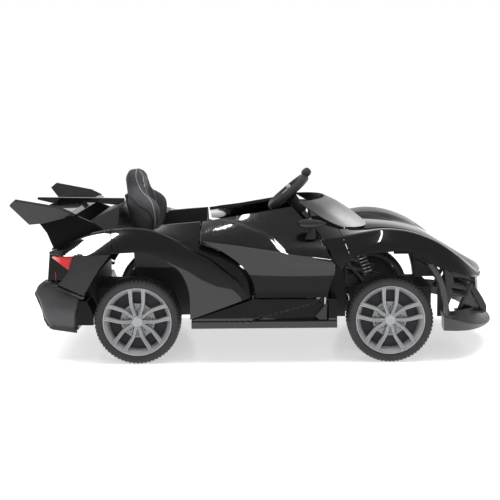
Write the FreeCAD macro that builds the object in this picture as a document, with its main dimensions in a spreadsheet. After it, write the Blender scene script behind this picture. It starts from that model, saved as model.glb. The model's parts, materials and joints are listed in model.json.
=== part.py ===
"""Electric ride-on car for one child: a low sports-car body on a moulded tub.

Millimetres. The nose points along +X, the right side is -Y, the ground is Z = 0 and the origin lies
under the middle of the car. In this file "out" is a distance from the middle plane, taken on the right
side; left-hand pieces are mirror images.
"""
import FreeCAD, Part
import Sketcher
import math
import os

DOC = FreeCAD.newDocument("RideOnCar")
SHEET = DOC.addObject("Spreadsheet::Sheet", "Sheet")
NODES = []

SIZES = {
    # Stance
    "wheelbase": 666, "axle_shift": 5, "half_track": 260, "fit_gap": 0.3,
    # Wheels
    "tyre_radius": 113, "tyre_width": 80, "shoulder_drop": 9, "shoulder_in": 8, "rim_radius": 91,
    "bead_gap": 0.1, "barrel_wall": 6, "web_thick": 6, "hub_radius": 22, "hub_inset": 6, "axle_radius": 6,
    "axle_gap": 0.3, "disc_radius": 47, "disc_thick": 3, "disc_hole_radius": 2.2, "disc_hole_ring": 40,
    "cover_inset": 3, "cover_thick": 8, "cover_ring": 11, "spoke_width": 9, "spoke_gap": 24,
    "spoke_bend": 53, "cap_radius": 15, "cap_thick": 5,
    # Tub
    "floor_bottom": 96, "floor_wall": 6, "tub_half_width": 200, "sill_height": 172, "pan_rear": 141,
    "pan_front": 148, "box_half_width": 120, "box_height": 250, "box_rear": 22, "bulkhead_half_width": 160,
    "bulkhead_height": 275, "bulkhead_front": 108, "plate_half_width": 105, "plate_bottom": 150,
    "plate_top": 168, "plate_front": 136, "beam_rear": 150, "beam_half_width": 95, "beam_bottom": 110,
    "beam_top": 170, "cross_thick": 16, "cross_half_width": 200, "cross_top": 211,
    # Running gear
    "kingpin_out": 205, "kingpin_radius": 5, "eye_radius": 12, "beam_size": 24, "knuckle_plate": 6,
    "arm_length": 80, "arm_width": 16, "arm_thick": 7, "tie_size": 10, "tie_gap": 0.6, "gearbox_thick": 46,
    "gearbox_radius": 26, "motor_reach": 66, "motor_lift": 12, "motor_radius": 19, "wheel_gap": 3,
    "battery_length": 98, "battery_width": 150, "battery_height": 95, "terminal_radius": 6,
    "control_length": 30, "control_width": 60, "control_height": 60,
    # Body panels
    "panel_wall": 4, "fender_bulge": 5, "lip_out": 318, "panel_seam": 205,
    "door_thick": 12, "hinge_back": 172, "hinge_out": 302, "hinge_radius": 3, "hinge_gap": 0.2,
    "barrel_radius": 6.5, "hinge_bottom": 150, "hinge_top": 242, "door_bottom": 178,
    "skirt_out": 312, "skirt_bottom": 98, "skirt_wall": 6, "skirt_recess": 14,
    "upright_in": 186, "quarter_in": 188, "shoulder_drop": 4,
    "tail_half_width": 228, "tail_bottom": 211.6, "tail_top": 291,
    "corner_in": 296, "corner_thick": 12, "diffuser_half_width": 255, "channel_width": 46, "fin_thick": 5,
    "blade_half_span": 256, "blade_bottom": 390, "blade_top": 402, "winglet_thick": 10, "winglet_cant": 24,
    "spine_half_width": 7, "deck_crown_out": 105, "deck_length": 200,
    "splitter_half_width": 306, "splitter_top": 128, "splitter_deep": 40, "splitter_knee": 232,
    "splitter_fall": 0.42, "splitter_tip": 318, "mouth_rear": 160, "mouth_half_width": 240,
    "nose_half_width": 72, "bumper_base": 7, "lamp_rear": 110, "lamp_front": 220, "lamp_height": 5,
    "bonnet_start": 2, "bonnet_valley": 17,
    "valley_end": 222, "valley_run": 200,
    "boss_radius": 7, "bonnet_boss_out": 70, "bonnet_post_top": 302, "cowl_boss_out": 60,
    "cowl_post_top": 410,
    # Cockpit
    "dash_half_width": 130, "dash_top": 372, "dash_face": 198, "steer_angle": 50, "steer_back": 263,
    "steer_height": 425, "shaft_radius": 6, "shaft_gap": 0.4, "shaft_length": 352, "crank_length": 42,
    "crank_width": 14, "peg_radius": 4, "peg_length": 14, "lug_gap": 0.9, "lug_thick": 5,
    "rim_tube": 11, "wheel_radius": 66, "steer_hub_radius": 24, "steer_hub_depth": 22,
    "steer_spoke_width": 20, "steer_spoke_thick": 9, "horn_radius": 13, "horn_height": 7, "horn_gap": 0.4,
    "power_radius": 8, "power_out": 80, "power_height": 352, "power_length": 12, "power_proud": 4,
    "switch_out": 55, "switch_width": 14, "switch_tall": 24, "switch_radius": 9, "button_gap": 0.4,
    "pedal_out": 62, "pedal_width": 56, "pedal_length": 84, "pedal_thick": 8, "pedal_barrel": 6,
    "pedal_pin": 2.5, "pedal_angle": 42, "pedal_back": 196, "pedal_height": 112, "ear_thick": 5,
    # Seat
    "seat_half_width": 140, "seat_base": 12, "seat_gap": 0.4,
    "mirror_half_length": 40, "mirror_half_width": 17, "mirror_half_height": 10, "mirror_back": 201,
    "mirror_out": 284, "mirror_height": 372, "stalk_radius": 6, "stalk_foot": 326,
}


class Size:
    """A number of the sheet, or one worked out from such numbers, with the expression that gives it."""

    def __init__(self, value, text):
        self.value = float(value)
        self.text = text

    def join(self, sign, other, value):
        return Size(value, "(%s %s %s)" % (self.text, sign, other.text))

    def __add__(self, other):
        other = size(other)
        return self.join("+", other, self.value + other.value)

    def __radd__(self, other):
        return size(other) + self

    def __sub__(self, other):
        other = size(other)
        return self.join("-", other, self.value - other.value)

    def __rsub__(self, other):
        return size(other) - self

    def __mul__(self, other):
        other = size(other)
        return self.join("*", other, self.value * other.value)

    def __rmul__(self, other):
        return size(other) * self

    def __truediv__(self, other):
        other = size(other)
        return self.join("/", other, self.value / other.value)

    def __neg__(self):
        return size(0) - self


def size(term):
    """A plain number, or a size as it is."""
    if isinstance(term, Size):
        return term
    return Size(term, "(%r)" % float(term))


class Sizes:
    """The driving dimensions, by name."""

    def __init__(self, table):
        for row, (name, value) in enumerate(table.items(), start=1):
            SHEET.set("A%d" % row, name)
            SHEET.set("B%d" % row, str(value))
            SHEET.setAlias("B%d" % row, name)
            setattr(self, name, Size(value, "Sheet." + name))


S = Sizes(SIZES)
DOC.recompute()
REAR = S.axle_shift - S.wheelbase / 2
FRONT = S.axle_shift + S.wheelbase / 2
HUB = S.tyre_radius


def behind(distance):
    """A place along the car, measured forwards from the rear axle."""
    return REAR + distance


def ahead(distance):
    """A place along the car, measured forwards from the front axle."""
    return FRONT + distance


# Building helpers

def bind(thing, **sizes):
    """Tie properties of an object to the sheet."""
    for name, value in sizes.items():
        thing.setExpression(name.replace("__", "."), size(value).text)


def node(thing, label):
    """Name a finished sub-part; the label names its file."""
    thing.Label = label
    NODES.append(thing)
    return thing


def new_body(name):
    return DOC.addObject("PartDesign::Body", name)


def origin_feature(body, role):
    """A plane or an axis of a body's own origin."""
    for feature in body.Origin.OriginFeatures:
        if feature.Role == role:
            return feature


def sketch(body, role, offset):
    """An empty sketch on an origin plane, moved along that plane's normal."""
    flat = body.newObject("Sketcher::SketchObject", body.Name + "_sketch")
    flat.AttachmentSupport = (origin_feature(body, role), [""])
    flat.MapMode = "FlatFace"
    bind(flat, AttachmentOffset__Base__z=offset)
    return flat


def pin_point(flat, edge, end, across, up):
    """Fix one end of a sketch edge at two sizes from the sketch's origin."""
    for kind, place in (("DistanceX", across), ("DistanceY", up)):
        index = flat.addConstraint(Sketcher.Constraint(kind, -1, 1, edge, end, place.value))
        flat.setExpression("Constraints[%d]" % index, place.text)


def outline(flat, points):
    """A closed outline of straight edges through points given as sizes."""
    points = [(size(a), size(b)) for a, b in points]
    count = len(points)
    first = flat.GeometryCount
    for index in range(count):
        a, b = points[index], points[(index + 1) % count]
        start = FreeCAD.Vector(a[0].value, a[1].value, 0)
        end = FreeCAD.Vector(b[0].value, b[1].value, 0)
        flat.addGeometry(Part.LineSegment(start, end), False)
    for index in range(count):
        following = first + (index + 1) % count
        flat.addConstraint(Sketcher.Constraint("Coincident", first + index, 2, following, 1))
    for index, (across, up) in enumerate(points):
        pin_point(flat, first + index, 1, across, up)


def ring(flat, across, up, radius):
    """A circle at two sizes from the sketch's origin."""
    across, up, radius = size(across), size(up), size(radius)
    centre = FreeCAD.Vector(across.value, up.value, 0)
    index = flat.addGeometry(Part.Circle(centre, FreeCAD.Vector(0, 0, 1), radius.value), False)
    spot = flat.addConstraint(Sketcher.Constraint("Radius", index, radius.value))
    flat.setExpression("Constraints[%d]" % spot, radius.text)
    pin_point(flat, index, 3, across, up)


def pad(body, flat, length, middle=False):
    made = body.newObject("PartDesign::Pad", body.Name + "_pad")
    made.Profile = flat
    made.Midplane = middle
    bind(made, Length=length)
    return made


def pocket(body, flat, length, middle=False, forwards=False):
    made = body.newObject("PartDesign::Pocket", body.Name + "_pocket")
    made.Profile = flat
    made.Midplane = middle
    made.Reversed = forwards
    bind(made, Length=length)
    return made


def span(body, points, half_width):
    """A slab across the car, as far out on both sides."""
    flat = sketch(body, "XZ_Plane", size(0))
    outline(flat, points)
    return pad(body, flat, half_width * 2, True)


def slab(body, points, near, far):
    """A slab of a side outline between two distances out on the right side."""
    flat = sketch(body, "XZ_Plane", size(near))
    outline(flat, points)
    return pad(body, flat, size(far) - near)


def carve(body, points, half_width):
    """Cut a side outline out of the middle of the car."""
    flat = sketch(body, "XZ_Plane", size(0))
    outline(flat, points)
    return pocket(body, flat, half_width * 2, True)


def carve_side(body, points, near, far):
    """Cut a side outline between two distances out on the right side."""
    flat = sketch(body, "XZ_Plane", size(far))
    outline(flat, points)
    return pocket(body, flat, size(far) - near)


def rise(body, points, bottom, top):
    """A plan outline raised from one height to another."""
    flat = sketch(body, "XY_Plane", size(bottom))
    outline(flat, points)
    return pad(body, flat, size(top) - bottom)


def post(body, along, across, radius, bottom, top):
    """An upright cylinder."""
    flat = sketch(body, "XY_Plane", size(bottom))
    ring(flat, along, across, radius)
    return pad(body, flat, size(top) - bottom)


def bore(body, along, across, radius, bottom, top):
    """An upright hole."""
    flat = sketch(body, "XY_Plane", size(top))
    ring(flat, along, across, radius)
    return pocket(body, flat, size(top) - bottom)


def cross_bar(body, along, height, radius, near, far):
    """A cylinder across the car, between two distances out on the right side."""
    flat = sketch(body, "XZ_Plane", size(near))
    ring(flat, along, height, radius)
    return pad(body, flat, size(far) - near)


def cross_bore(body, along, height, radius, near, far):
    """A hole across the car, between two distances out on the right side."""
    flat = sketch(body, "XZ_Plane", size(far))
    ring(flat, along, height, radius)
    return pocket(body, flat, size(far) - near)


def block(low_x, high_x, low_z, high_z):
    """The four corners of an upright rectangle."""
    return [(low_x, low_z), (high_x, low_z), (high_x, high_z), (low_x, high_z)]


def spin(body, points, axis="H_Axis"):
    """Turn a profile about an axis of its own sketch on the YZ plane."""
    flat = sketch(body, "YZ_Plane", size(0))
    outline(flat, points)
    made = body.newObject("PartDesign::Revolution", body.Name + "_turn")
    made.Profile = flat
    made.ReferenceAxis = (flat, [axis])
    made.Angle = 360
    return made


def both_sides(body, feature):
    """Repeat a feature of the right side on the left."""
    made = body.newObject("PartDesign::Mirrored", body.Name + "_twin")
    made.Originals = [feature]
    made.MirrorPlane = (origin_feature(body, "XZ_Plane"), [""])
    body.Tip = made
    return made


def twin(source):
    """The left-hand copy of a right-hand piece."""
    made = DOC.addObject("Part::Mirroring", source.Name + "_left")
    made.Source = source
    made.Normal = (0, 1, 0)
    made.Base = (0, 0, 0)
    return made


def pair(source, label):
    """A right-hand piece and its left-hand copy, as one group."""
    group = DOC.addObject("Part::Compound", source.Name + "_pair")
    group.Links = [source, twin(source)]
    return node(group, label)


def right_and_left(source, name):
    node(source, name + "_right")
    node(twin(source), name + "_left")


def solid_feature(name, shape):
    made = DOC.addObject("Part::Feature", name)
    made.Shape = shape
    made.Placement = FreeCAD.Placement()
    return made


def fused(name, *pieces):
    made = DOC.addObject("Part::MultiFuse", name)
    made.Shapes = list(pieces)
    return made


def cut(name, base, tool):
    made = DOC.addObject("Part::Cut", name)
    made.Base = base
    made.Tool = tool
    return made


# Lofted panels: each section lies across the car on a slanting line of the side view

def station(start, end, along, out, lift=0.0):
    """A point of a section: a share of the way along its side-view line, out from the middle."""
    x = start[0] + (end[0] - start[0]) * along
    z = start[1] + (end[1] - start[1]) * along
    return FreeCAD.Vector(x, -out, z + lift)


def flat_face(*corners):
    return Part.Face(Part.makePolygon(list(corners) + [corners[0]]))


def faceted_loft(name, sections):
    """A solid through closed sections of equally many points, each strip split into flat facets."""
    faces = [flat_face(*sections[0]), flat_face(*sections[-1])]
    for near, far in zip(sections, sections[1:]):
        for index in range(len(near)):
            a, b, c, d = near[index - 1], near[index], far[index], far[index - 1]
            if (a - c).Length < (b - d).Length:
                faces += [flat_face(a, b, c), flat_face(a, c, d)]
            else:
                faces += [flat_face(a, b, d), flat_face(b, c, d)]
    solid = Part.Solid(Part.Shell(faces))
    if solid.Volume < 0:
        solid.reverse()
    return solid_feature(name, solid)


def placed(offsets, axle):
    """Side-view points given from an axle, in the car's frame."""
    return [(axle.value + x, z) for x, z in offsets]


def mirrored(points):
    """The same points on the other side of the car."""
    return [FreeCAD.Vector(point.x, -point.y, point.z) for point in points]


def fender_section(lip, crest, outs, seam):
    """A fender's section: lip, bulged side, rounded crest and the shelf in to the panel seam."""
    (lip_out, crest_out), (seam_out, drop) = outs, seam
    wall = S.panel_wall.value
    length = math.hypot(crest[0] - lip[0], crest[1] - lip[1])
    share = wall / length
    bulge = (lip_out + crest_out) / 2 + S.fender_bulge.value
    shelf = 1 - drop / length
    outer = [(0, lip_out), (0.45, bulge), (0.85, crest_out + wall), (1, crest_out - 2 * wall),
             (shelf, seam_out)]
    inner = [(shelf - share, seam_out), (1 - share, crest_out - 2.5 * wall), (0.85 - share / 2, crest_out),
             (0.45, bulge - wall), (0, lip_out - wall)]
    return [station(lip, crest, along, out) for along, out in outer + inner]


# Wheels

SPOKE_PAIRS = 5
DISC_HOLES = 10


def make_tyre(name):
    body = new_body(name)
    half = S.tyre_width / 2
    shoulder = S.tyre_radius - S.shoulder_drop
    spin(body, [(-half, S.rim_radius), (-half, shoulder), (S.shoulder_in - half, S.tyre_radius),
                (half - S.shoulder_in, S.tyre_radius), (half, shoulder), (half, S.rim_radius)])
    return body


def make_core(name):
    """The wheel itself: barrel, web, hub and the drilled disc behind the spokes."""
    body = new_body(name)
    half = S.tyre_width / 2
    barrel = S.rim_radius - S.bead_gap
    well = barrel - S.barrel_wall
    face = -half + S.cover_inset + S.cover_thick + S.fit_gap
    hole = S.axle_radius + S.axle_gap
    web = face + S.cover_thick + S.cover_inset
    disc = web - S.disc_thick
    spin(body, [(face, well), (face, barrel), (half - S.cover_inset, barrel), (half - S.cover_inset, well),
                (web + S.web_thick, well), (web + S.web_thick, S.hub_radius),
                (half - S.hub_inset, S.hub_radius), (half - S.hub_inset, hole), (disc, hole),
                (disc, S.disc_radius), (web, S.disc_radius), (web, well)])
    flat = sketch(body, "XZ_Plane", -disc)
    ring(flat, size(0), S.disc_hole_ring, S.disc_hole_radius)
    hole_cut = pocket(body, flat, S.disc_thick)
    holes = body.newObject("PartDesign::PolarPattern", name + "_holes")
    holes.Originals = [hole_cut]
    holes.Axis = (origin_feature(body, "Y_Axis"), [""])
    holes.Angle = 360
    holes.Occurrences = DISC_HOLES
    body.Tip = holes
    return body


def make_cover(name):
    """The silver face: outer ring, five pairs of spokes and the flat cap in the middle."""
    body = new_body(name)
    outside = S.tyre_width / 2 - S.cover_inset
    back = outside - S.cover_thick
    rim = S.rim_radius - S.bead_gap
    flat = sketch(body, "XZ_Plane", back)
    ring(flat, 0, 0, rim)
    ring(flat, 0, 0, rim - S.cover_ring)
    pad(body, flat, S.cover_thick)
    flat = sketch(body, "XZ_Plane", back)
    ring(flat, 0, 0, S.cap_radius)
    pad(body, flat, S.cap_thick + S.fit_gap)
    reach = rim - S.cover_ring / 2
    inner = S.cap_radius * 0.6
    foot = S.spoke_width * 0.7
    near = S.spoke_gap / 2
    far = near + S.spoke_width
    flat = sketch(body, "XZ_Plane", back)
    for side in (-1, 1):
        outline(flat, [(side * near, reach), (side * far, reach), (side * far, S.spoke_bend),
                       (side * (S.fit_gap + foot), inner), (side * S.fit_gap, inner),
                       (side * near, S.spoke_bend)])
    spokes = pad(body, flat, S.cap_thick)
    pattern = body.newObject("PartDesign::PolarPattern", name + "_spokes")
    pattern.Originals = [spokes]
    pattern.Axis = (origin_feature(body, "Y_Axis"), [""])
    pattern.Angle = 360
    pattern.Occurrences = SPOKE_PAIRS
    body.Tip = pattern
    return body


def make_wheels():
    for end, axle in (("rear", REAR), ("front", FRONT)):
        for kind, maker in (("tyre", make_tyre), ("wheel_core", make_core), ("wheel_cover", make_cover)):
            body = maker("%s_%s" % (kind, end))
            bind(body, Placement__Base__x=axle, Placement__Base__y=-S.half_track, Placement__Base__z=HUB)
            right_and_left(body, "%s_%s" % (kind, end))


# Chassis

def steering_line(length):
    """A point of the steering axis, measured down from the wheel's middle."""
    tilt = math.radians(S.steer_angle.value)
    x = FRONT.value - S.steer_back.value + length * math.cos(tilt)
    return FreeCAD.Vector(x, 0, S.steer_height.value - length * math.sin(tilt))


def along_steering(name, radius, start, length):
    """A cylinder on the steering axis."""
    rod = DOC.addObject("Part::Cylinder", name)
    bind(rod, Radius=radius, Height=length)
    place_on_steering(rod, start)
    return rod


def place_on_steering(thing, start):
    """Stand a piece on the steering axis, its own Z pointing down the column."""
    turn = FreeCAD.Rotation(FreeCAD.Vector(0, 1, 0), 90 + S.steer_angle.value)
    thing.Placement = FreeCAD.Placement(steering_line(size(start).value), turn)


def make_tub():
    body = new_body("tub")
    pan_rear, pan_front = behind(S.pan_rear), ahead(-S.pan_front)
    nose = ahead(-S.bulkhead_front)
    wall = S.floor_wall
    floor = S.floor_bottom + wall
    box_back = behind(-S.box_rear)
    span(body, block(pan_rear, pan_front, S.floor_bottom, S.sill_height), S.tub_half_width)
    span(body, block(box_back, pan_rear + wall, S.floor_bottom, S.box_height), S.box_half_width)
    span(body, block(pan_front - wall, nose, S.floor_bottom, S.bulkhead_height), S.bulkhead_half_width)
    shelf = S.quarter_in - S.fit_gap
    span(body, block(box_back, pan_rear + wall, S.box_height - wall, S.box_height), shelf)
    carve(body, block(pan_rear + wall, pan_front, floor, S.bulkhead_height), S.tub_half_width - wall)
    carve(body, block(pan_front - wall, nose - wall, floor, S.bulkhead_height), S.bulkhead_half_width - wall)
    carve(body, block(box_back + wall, pan_rear, floor, S.box_height), S.box_half_width - wall)
    span(body, block(nose - wall, ahead(S.plate_front), S.plate_bottom, S.plate_top), S.plate_half_width)
    plate_end = ahead(S.plate_front)
    span(body, block(plate_end - S.cross_thick, plate_end, S.floor_bottom, S.plate_top), S.plate_half_width)
    tail = behind(-S.beam_rear)
    span(body, block(tail, box_back + wall, S.beam_bottom, S.beam_top), S.beam_half_width)
    span(body, block(tail, tail + S.cross_thick, S.beam_bottom, S.cross_top), S.cross_half_width)
    cross_bore(body, REAR, HUB, S.axle_radius + S.axle_gap, -S.tub_half_width, S.tub_half_width)
    hole = along_steering("column_hole", S.shaft_radius + 2 * S.shaft_gap, S.steer_hub_depth, S.shaft_length)
    node(cut("tub_bored", body, hole), "chassis_tub")


def make_running_gear():
    beam = new_body("axle_beam")
    half = S.beam_size / 2
    low, high = HUB - half, HUB + half
    king = S.kingpin_out
    span(beam, block(FRONT - half, FRONT + half, low, high), king)
    saddle = S.plate_half_width * 0.4
    span(beam, block(FRONT - half, FRONT + half, high, S.plate_bottom - S.fit_gap), saddle)
    for side in (-1, 1):
        post(beam, FRONT, side * king, S.eye_radius, low, high)
    for side in (-1, 1):
        bore(beam, FRONT, side * king, S.kingpin_radius + S.axle_gap, low, high)
    node(beam, "front_axle_beam")

    knuckle = new_body("knuckle")
    plate = S.knuckle_plate
    cheek = king + S.eye_radius + S.fit_gap
    arm = FRONT - S.arm_length
    post(knuckle, FRONT, -king, S.kingpin_radius, low - plate, high + plate)
    tab = S.eye_radius
    for bottom, top in ((low - plate, low - S.fit_gap), (high + S.fit_gap, high + plate)):
        rise(knuckle, [(FRONT - tab, -king + tab / 2), (FRONT + tab, -king + tab / 2),
                       (FRONT + tab, -cheek - plate), (FRONT - tab, -cheek - plate)], bottom, top)
    slab(knuckle, block(FRONT - tab, FRONT + tab, low - plate, high + plate), cheek, cheek + plate)
    cross_bar(knuckle, FRONT, HUB, S.axle_radius, cheek, S.half_track + S.tyre_width / 4)
    arm_low = high + S.fit_gap
    half_arm = S.arm_width / 2
    rise(knuckle, [(FRONT, -king + half_arm), (arm - half_arm, -king + S.arm_width + half_arm),
                   (arm - half_arm, -king + half_arm), (FRONT, -king - half_arm)],
         arm_low, arm_low + S.arm_thick)
    right_and_left(knuckle, "knuckle")

    tie = new_body("tie")
    tie_top = high + S.fit_gap - S.tie_gap
    tie_reach = king - S.arm_width / 2
    span(tie, block(arm - S.tie_size / 2, arm + S.tie_size / 2, tie_top - S.tie_size, tie_top), tie_reach)
    near = S.peg_radius + S.lug_gap
    lug = [(arm - S.tie_size / 2, tie_top), (arm - S.tie_size / 2, 93), (ahead(-34), 93), (ahead(-34), 106),
           (ahead(-52), 106), (ahead(-66), 97), (ahead(-74), 100), (ahead(-74), tie_top)]
    both_sides(tie, slab(tie, lug, near, near + S.lug_thick))
    node(tie, "tie_rod")

    axle = new_body("rear_rod")
    flat = sketch(axle, "XZ_Plane", size(0))
    ring(flat, REAR, HUB, S.axle_radius)
    pad(axle, flat, (S.half_track + S.tyre_width / 4) * 2, True)
    node(axle, "rear_axle")

    inner_face = S.half_track - S.tyre_width / 2
    outside = inner_face - S.wheel_gap
    inside = outside - S.gearbox_thick
    motor_x, motor_z = REAR + S.motor_reach, HUB + S.motor_lift
    gearbox = new_body("gearbox")
    cross_bar(gearbox, REAR, HUB, S.gearbox_radius, inside, outside)
    cross_bar(gearbox, motor_x, motor_z, S.gearbox_radius, inside, outside)
    narrow = S.gearbox_radius * 0.8
    slab(gearbox, [(REAR, HUB - narrow), (motor_x, motor_z - narrow), (motor_x, motor_z + narrow),
                   (REAR, HUB + narrow)], inside, outside)
    cross_bore(gearbox, REAR, HUB, S.axle_radius + S.axle_gap, inside, outside)
    pair(gearbox, "gearboxes")
    motor = new_body("motor")
    boss = S.motor_radius * 0.4
    cross_bar(motor, motor_x, motor_z, S.motor_radius, S.box_half_width + 4 * S.fit_gap + boss,
              inside - S.fit_gap)
    cross_bar(motor, motor_x, motor_z, boss, S.box_half_width + S.fit_gap, inside - S.fit_gap)
    pair(motor, "drive_motors")

    floor = S.floor_bottom + S.floor_wall
    battery = new_body("accumulator")
    back = REAR + S.axle_radius * 4
    top = floor + S.battery_height
    span(battery, block(back, back + S.battery_length, floor, top), S.battery_width / 2)
    for side in (-1, 1):
        post(battery, back + S.battery_length / 2, side * S.battery_width / 4, S.terminal_radius, top,
             top + S.terminal_radius)
    node(battery, "battery")
    control = new_body("controller")
    nose = ahead(-S.bulkhead_front) - S.floor_wall
    span(control, block(nose - S.control_length, nose, floor, floor + S.control_height), S.control_width / 2)
    node(control, "control_box")


# Body panels: side-view points are given along from the nearer axle and up from the ground

# along and up of the lip, along and up of the crest, out at the lip and the crest, out and drop at the seam
REAR_FENDER = [
    ((-226, 292), (-232, 297), (272, 262), (205, 4)),
    ((-187, 293), (-179, 321), (314, 270), (205, 6)),
    ((-127, 295), (-131, 343), (318, 274), (205, 7)),
    ((-72, 297), (-83, 355), (318, 282), (205, 8)),
    ((-22, 300), (-22, 362), (318, 294), (205, 8)),
    ((28, 300), (43, 356), (318, 296), (214, 8)),
    ((62, 289), (98, 335), (318, 300), (284, 4)),
    ((92, 270), (146, 306), (317, 306), (286, -24)),
    ((117, 249), (197, 281), (317, 311), (290, -32)),
    ((133, 219), (234, 252), (316, 313), (291, -36)),
    ((140, 190), (267, 227), (315, 313), (291, -27)),
    ((141, 122), (303, 181), (312, 311), (294, -7)),
]
FRONT_FENDER = [
    ((-131, 250), (-179, 330), (316, 286), (202, -44)),
    ((-115, 272), (-148, 333), (318, 289), (207, -28)),
    ((-98, 283), (-112, 338), (320, 292), (208, -8)),
    ((-70, 291), (-70, 346), (320, 295), (205, 4)),
    ((-20, 296), (-20, 353), (320, 297), (205, 8)),
    ((45, 297), (50, 346), (320, 297), (205, 8)),
    ((83, 283), (92, 332), (319, 295), (205, 8)),
    ((112, 259), (120, 319), (316, 291), (205, 8)),
    ((158, 242), (160, 293), (306, 282), (205, 8)),
    ((207, 225), (206, 255), (281, 261), (204, 6)),
    ((243, 217), (245, 222), (230, 222), (200, 3)),
]
BONNET_MIDDLE = [(-108, 342), (-38, 340), (-4, 338), (32, 334), (82, 324), (122, 311), (167, 286), (222, 253),
                 (274, 222)]
# share of the way out to the seam, share of the fall to it, share of the valley's depth
BONNET_HALF = [(0, 0, 0), (0.38, 0.08, 0.23), (0.56, 0.45, 0.75), (0.72, 0.86, 1), (0.87, 0.96, 0.45),
               (1, 1, 0)]
# rear end from the rear axle, front end from the front axle, out at the rear, the middle and the front
DOOR_RUNGS = [
    ((313, 178), (-166, 178), (307, 310, 310)),
    ((312, 190), (-164, 190), (304, 306, 308)),
    ((308, 212), (-158, 212), (303, 305, 308)),
    ((290, 250), (-147, 247), (306, 309, 313)),
    ((233, 297), (-150, 265), (311, 316, 317)),
    ((173, 329), (-157, 279), (311, 318.5, 318)),
    ((172, 340), (-171, 302), (296, 308, 309)),
    ((171, 352), (-192, 340), (254, 268, 272)),
    ((171, 360), (-218, 374), (222, 224, 232)),
    ((171, 366), (-256, 405), (195, 187, 186)),
]
DOOR_STEPS = (0.0, 0.25, 0.5, 0.75, 1.0)
MIRROR_SWELL = [(-1, 0.45), (-0.85, 0.8), (-0.2, 1), (0.5, 0.85), (1, 0.3)]
MIRROR_SIDES = 8
COWL_RUNGS = [
    ((-233, 414), (-128, 420), (151, 132, 96, 50)),
    ((-192, 385), (-83, 397), (186, 160, 114, 58)),
    ((-150, 363), (-52, 366), (206, 176, 126, 62)),
    ((-124, 353), (-36, 345), (214, 182, 128, 64)),
]
COWL_REACH = (0.0, 0.42, 0.76, 0.95)


def stations(table, axle):
    """A fender's stations with their side-view points in the car's frame."""
    return [(*placed((lip, crest), axle), outs, seam) for lip, crest, outs, seam in table]


def make_fenders():
    gap, tall = S.fit_gap.value, S.lamp_height.value
    rear = []
    for lip, crest, outs, (seam_out, drop) in stations(REAR_FENDER, REAR):
        rear.append(fender_section(lip, crest, outs, (seam_out + gap, drop)))
    right_and_left(faceted_loft("rear_fender", rear), "rear_fender")
    front = [fender_section(*row) for row in stations(FRONT_FENDER, FRONT)]
    right_and_left(faceted_loft("front_fender", front), "front_fender")
    lamps = []
    for lip, crest, outs, (seam_out, seam_drop) in stations(FRONT_FENDER, FRONT):
        if not S.lamp_rear.value < crest[0] - FRONT.value < S.lamp_front.value:
            continue
        length = math.hypot(crest[0] - lip[0], crest[1] - lip[1])
        shelf = outs[1] - 2 * S.panel_wall.value - seam_out
        corners = []
        for out, lift in ((10, gap), (30, gap), (28, gap + tall), (12, gap + tall)):
            drop = seam_drop * (1 - out / shelf)
            corners.append(station(lip, crest, 1 + (lift - drop) / length, seam_out + out))
        lamps.append(corners)
    pair(faceted_loft("headlight", lamps), "headlights")


def seam_line():
    """The front fender's inner edge, station by station: along, out and up."""
    points = []
    for lip, crest, _, (seam_out, drop) in stations(FRONT_FENDER, FRONT):
        share = 1 - drop / math.hypot(crest[0] - lip[0], crest[1] - lip[1])
        x = lip[0] + (crest[0] - lip[0]) * share
        points.append((x, seam_out, lip[1] + (crest[1] - lip[1]) * share))
    return points


def read_off(points, x, column):
    """A value on a line of points at a place along the car."""
    for a, b in zip(points, points[1:]):
        if a[0] <= x <= b[0]:
            return a[column] + (b[column] - a[column]) * (x - a[0]) / (b[0] - a[0])
    raise ValueError("no point at %s" % x)


def bonnet_section(x, out, edge, middle):
    """A section across the bonnet: raised middle, a valley on each side and the seams."""
    wall = S.panel_wall.value
    fade = min(1, max(0, (FRONT + S.valley_end - x).value / S.valley_run.value))
    right = []
    for share, fall, dip in BONNET_HALF:
        height = middle + (edge - middle) * fall - S.bonnet_valley.value * fade * dip
        right.append(FreeCAD.Vector(x, -out * share, height))
    top = mirrored(right[:0:-1]) + right
    return top + [point - FreeCAD.Vector(0, 0, wall) for point in reversed(top)]


def stand_posts(name, along, out, bottom, top):
    """Two upright cylinders that carry a panel."""
    feet = []
    for side in (-1, 1):
        foot = DOC.addObject("Part::Cylinder", name)
        bind(foot, Radius=S.boss_radius, Height=top - bottom, Placement__Base__x=along,
             Placement__Base__y=side * out, Placement__Base__z=bottom)
        feet.append(foot)
    return feet


def make_bonnet():
    seam, middle = seam_line(), placed(BONNET_MIDDLE, FRONT)
    start = FRONT.value - S.bulkhead_front.value + S.bonnet_start.value
    sections = []
    for x in [start] + [point[0] for point in seam if point[0] > start]:
        out = read_off(seam, x, 1) - S.fit_gap.value
        sections.append(bonnet_section(x, out, read_off(seam, x, 2), read_off(middle, x, 1)))
    for x, share in ((FRONT.value + 262, 0.72), (middle[-1][0], 0.3)):
        top = read_off(middle, x, 1)
        sections.append(bonnet_section(x, seam[-1][1] * share, min(top, seam[-1][2]), top))
    shell = faceted_loft("bonnet_shell", sections)
    feet = stand_posts("bonnet_post", ahead(S.plate_front) - 2 * S.boss_radius, S.bonnet_boss_out,
                       S.plate_top + S.fit_gap, S.bonnet_post_top)
    node(fused("bonnet_whole", shell, *feet), "bonnet")


def blend(values, along):
    """A smooth run through the values at the start, the middle and the end."""
    first, middle, last = values
    return first + (4 * middle - 3 * first - last) * along + 2 * (first + last - 2 * middle) * along * along


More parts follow.
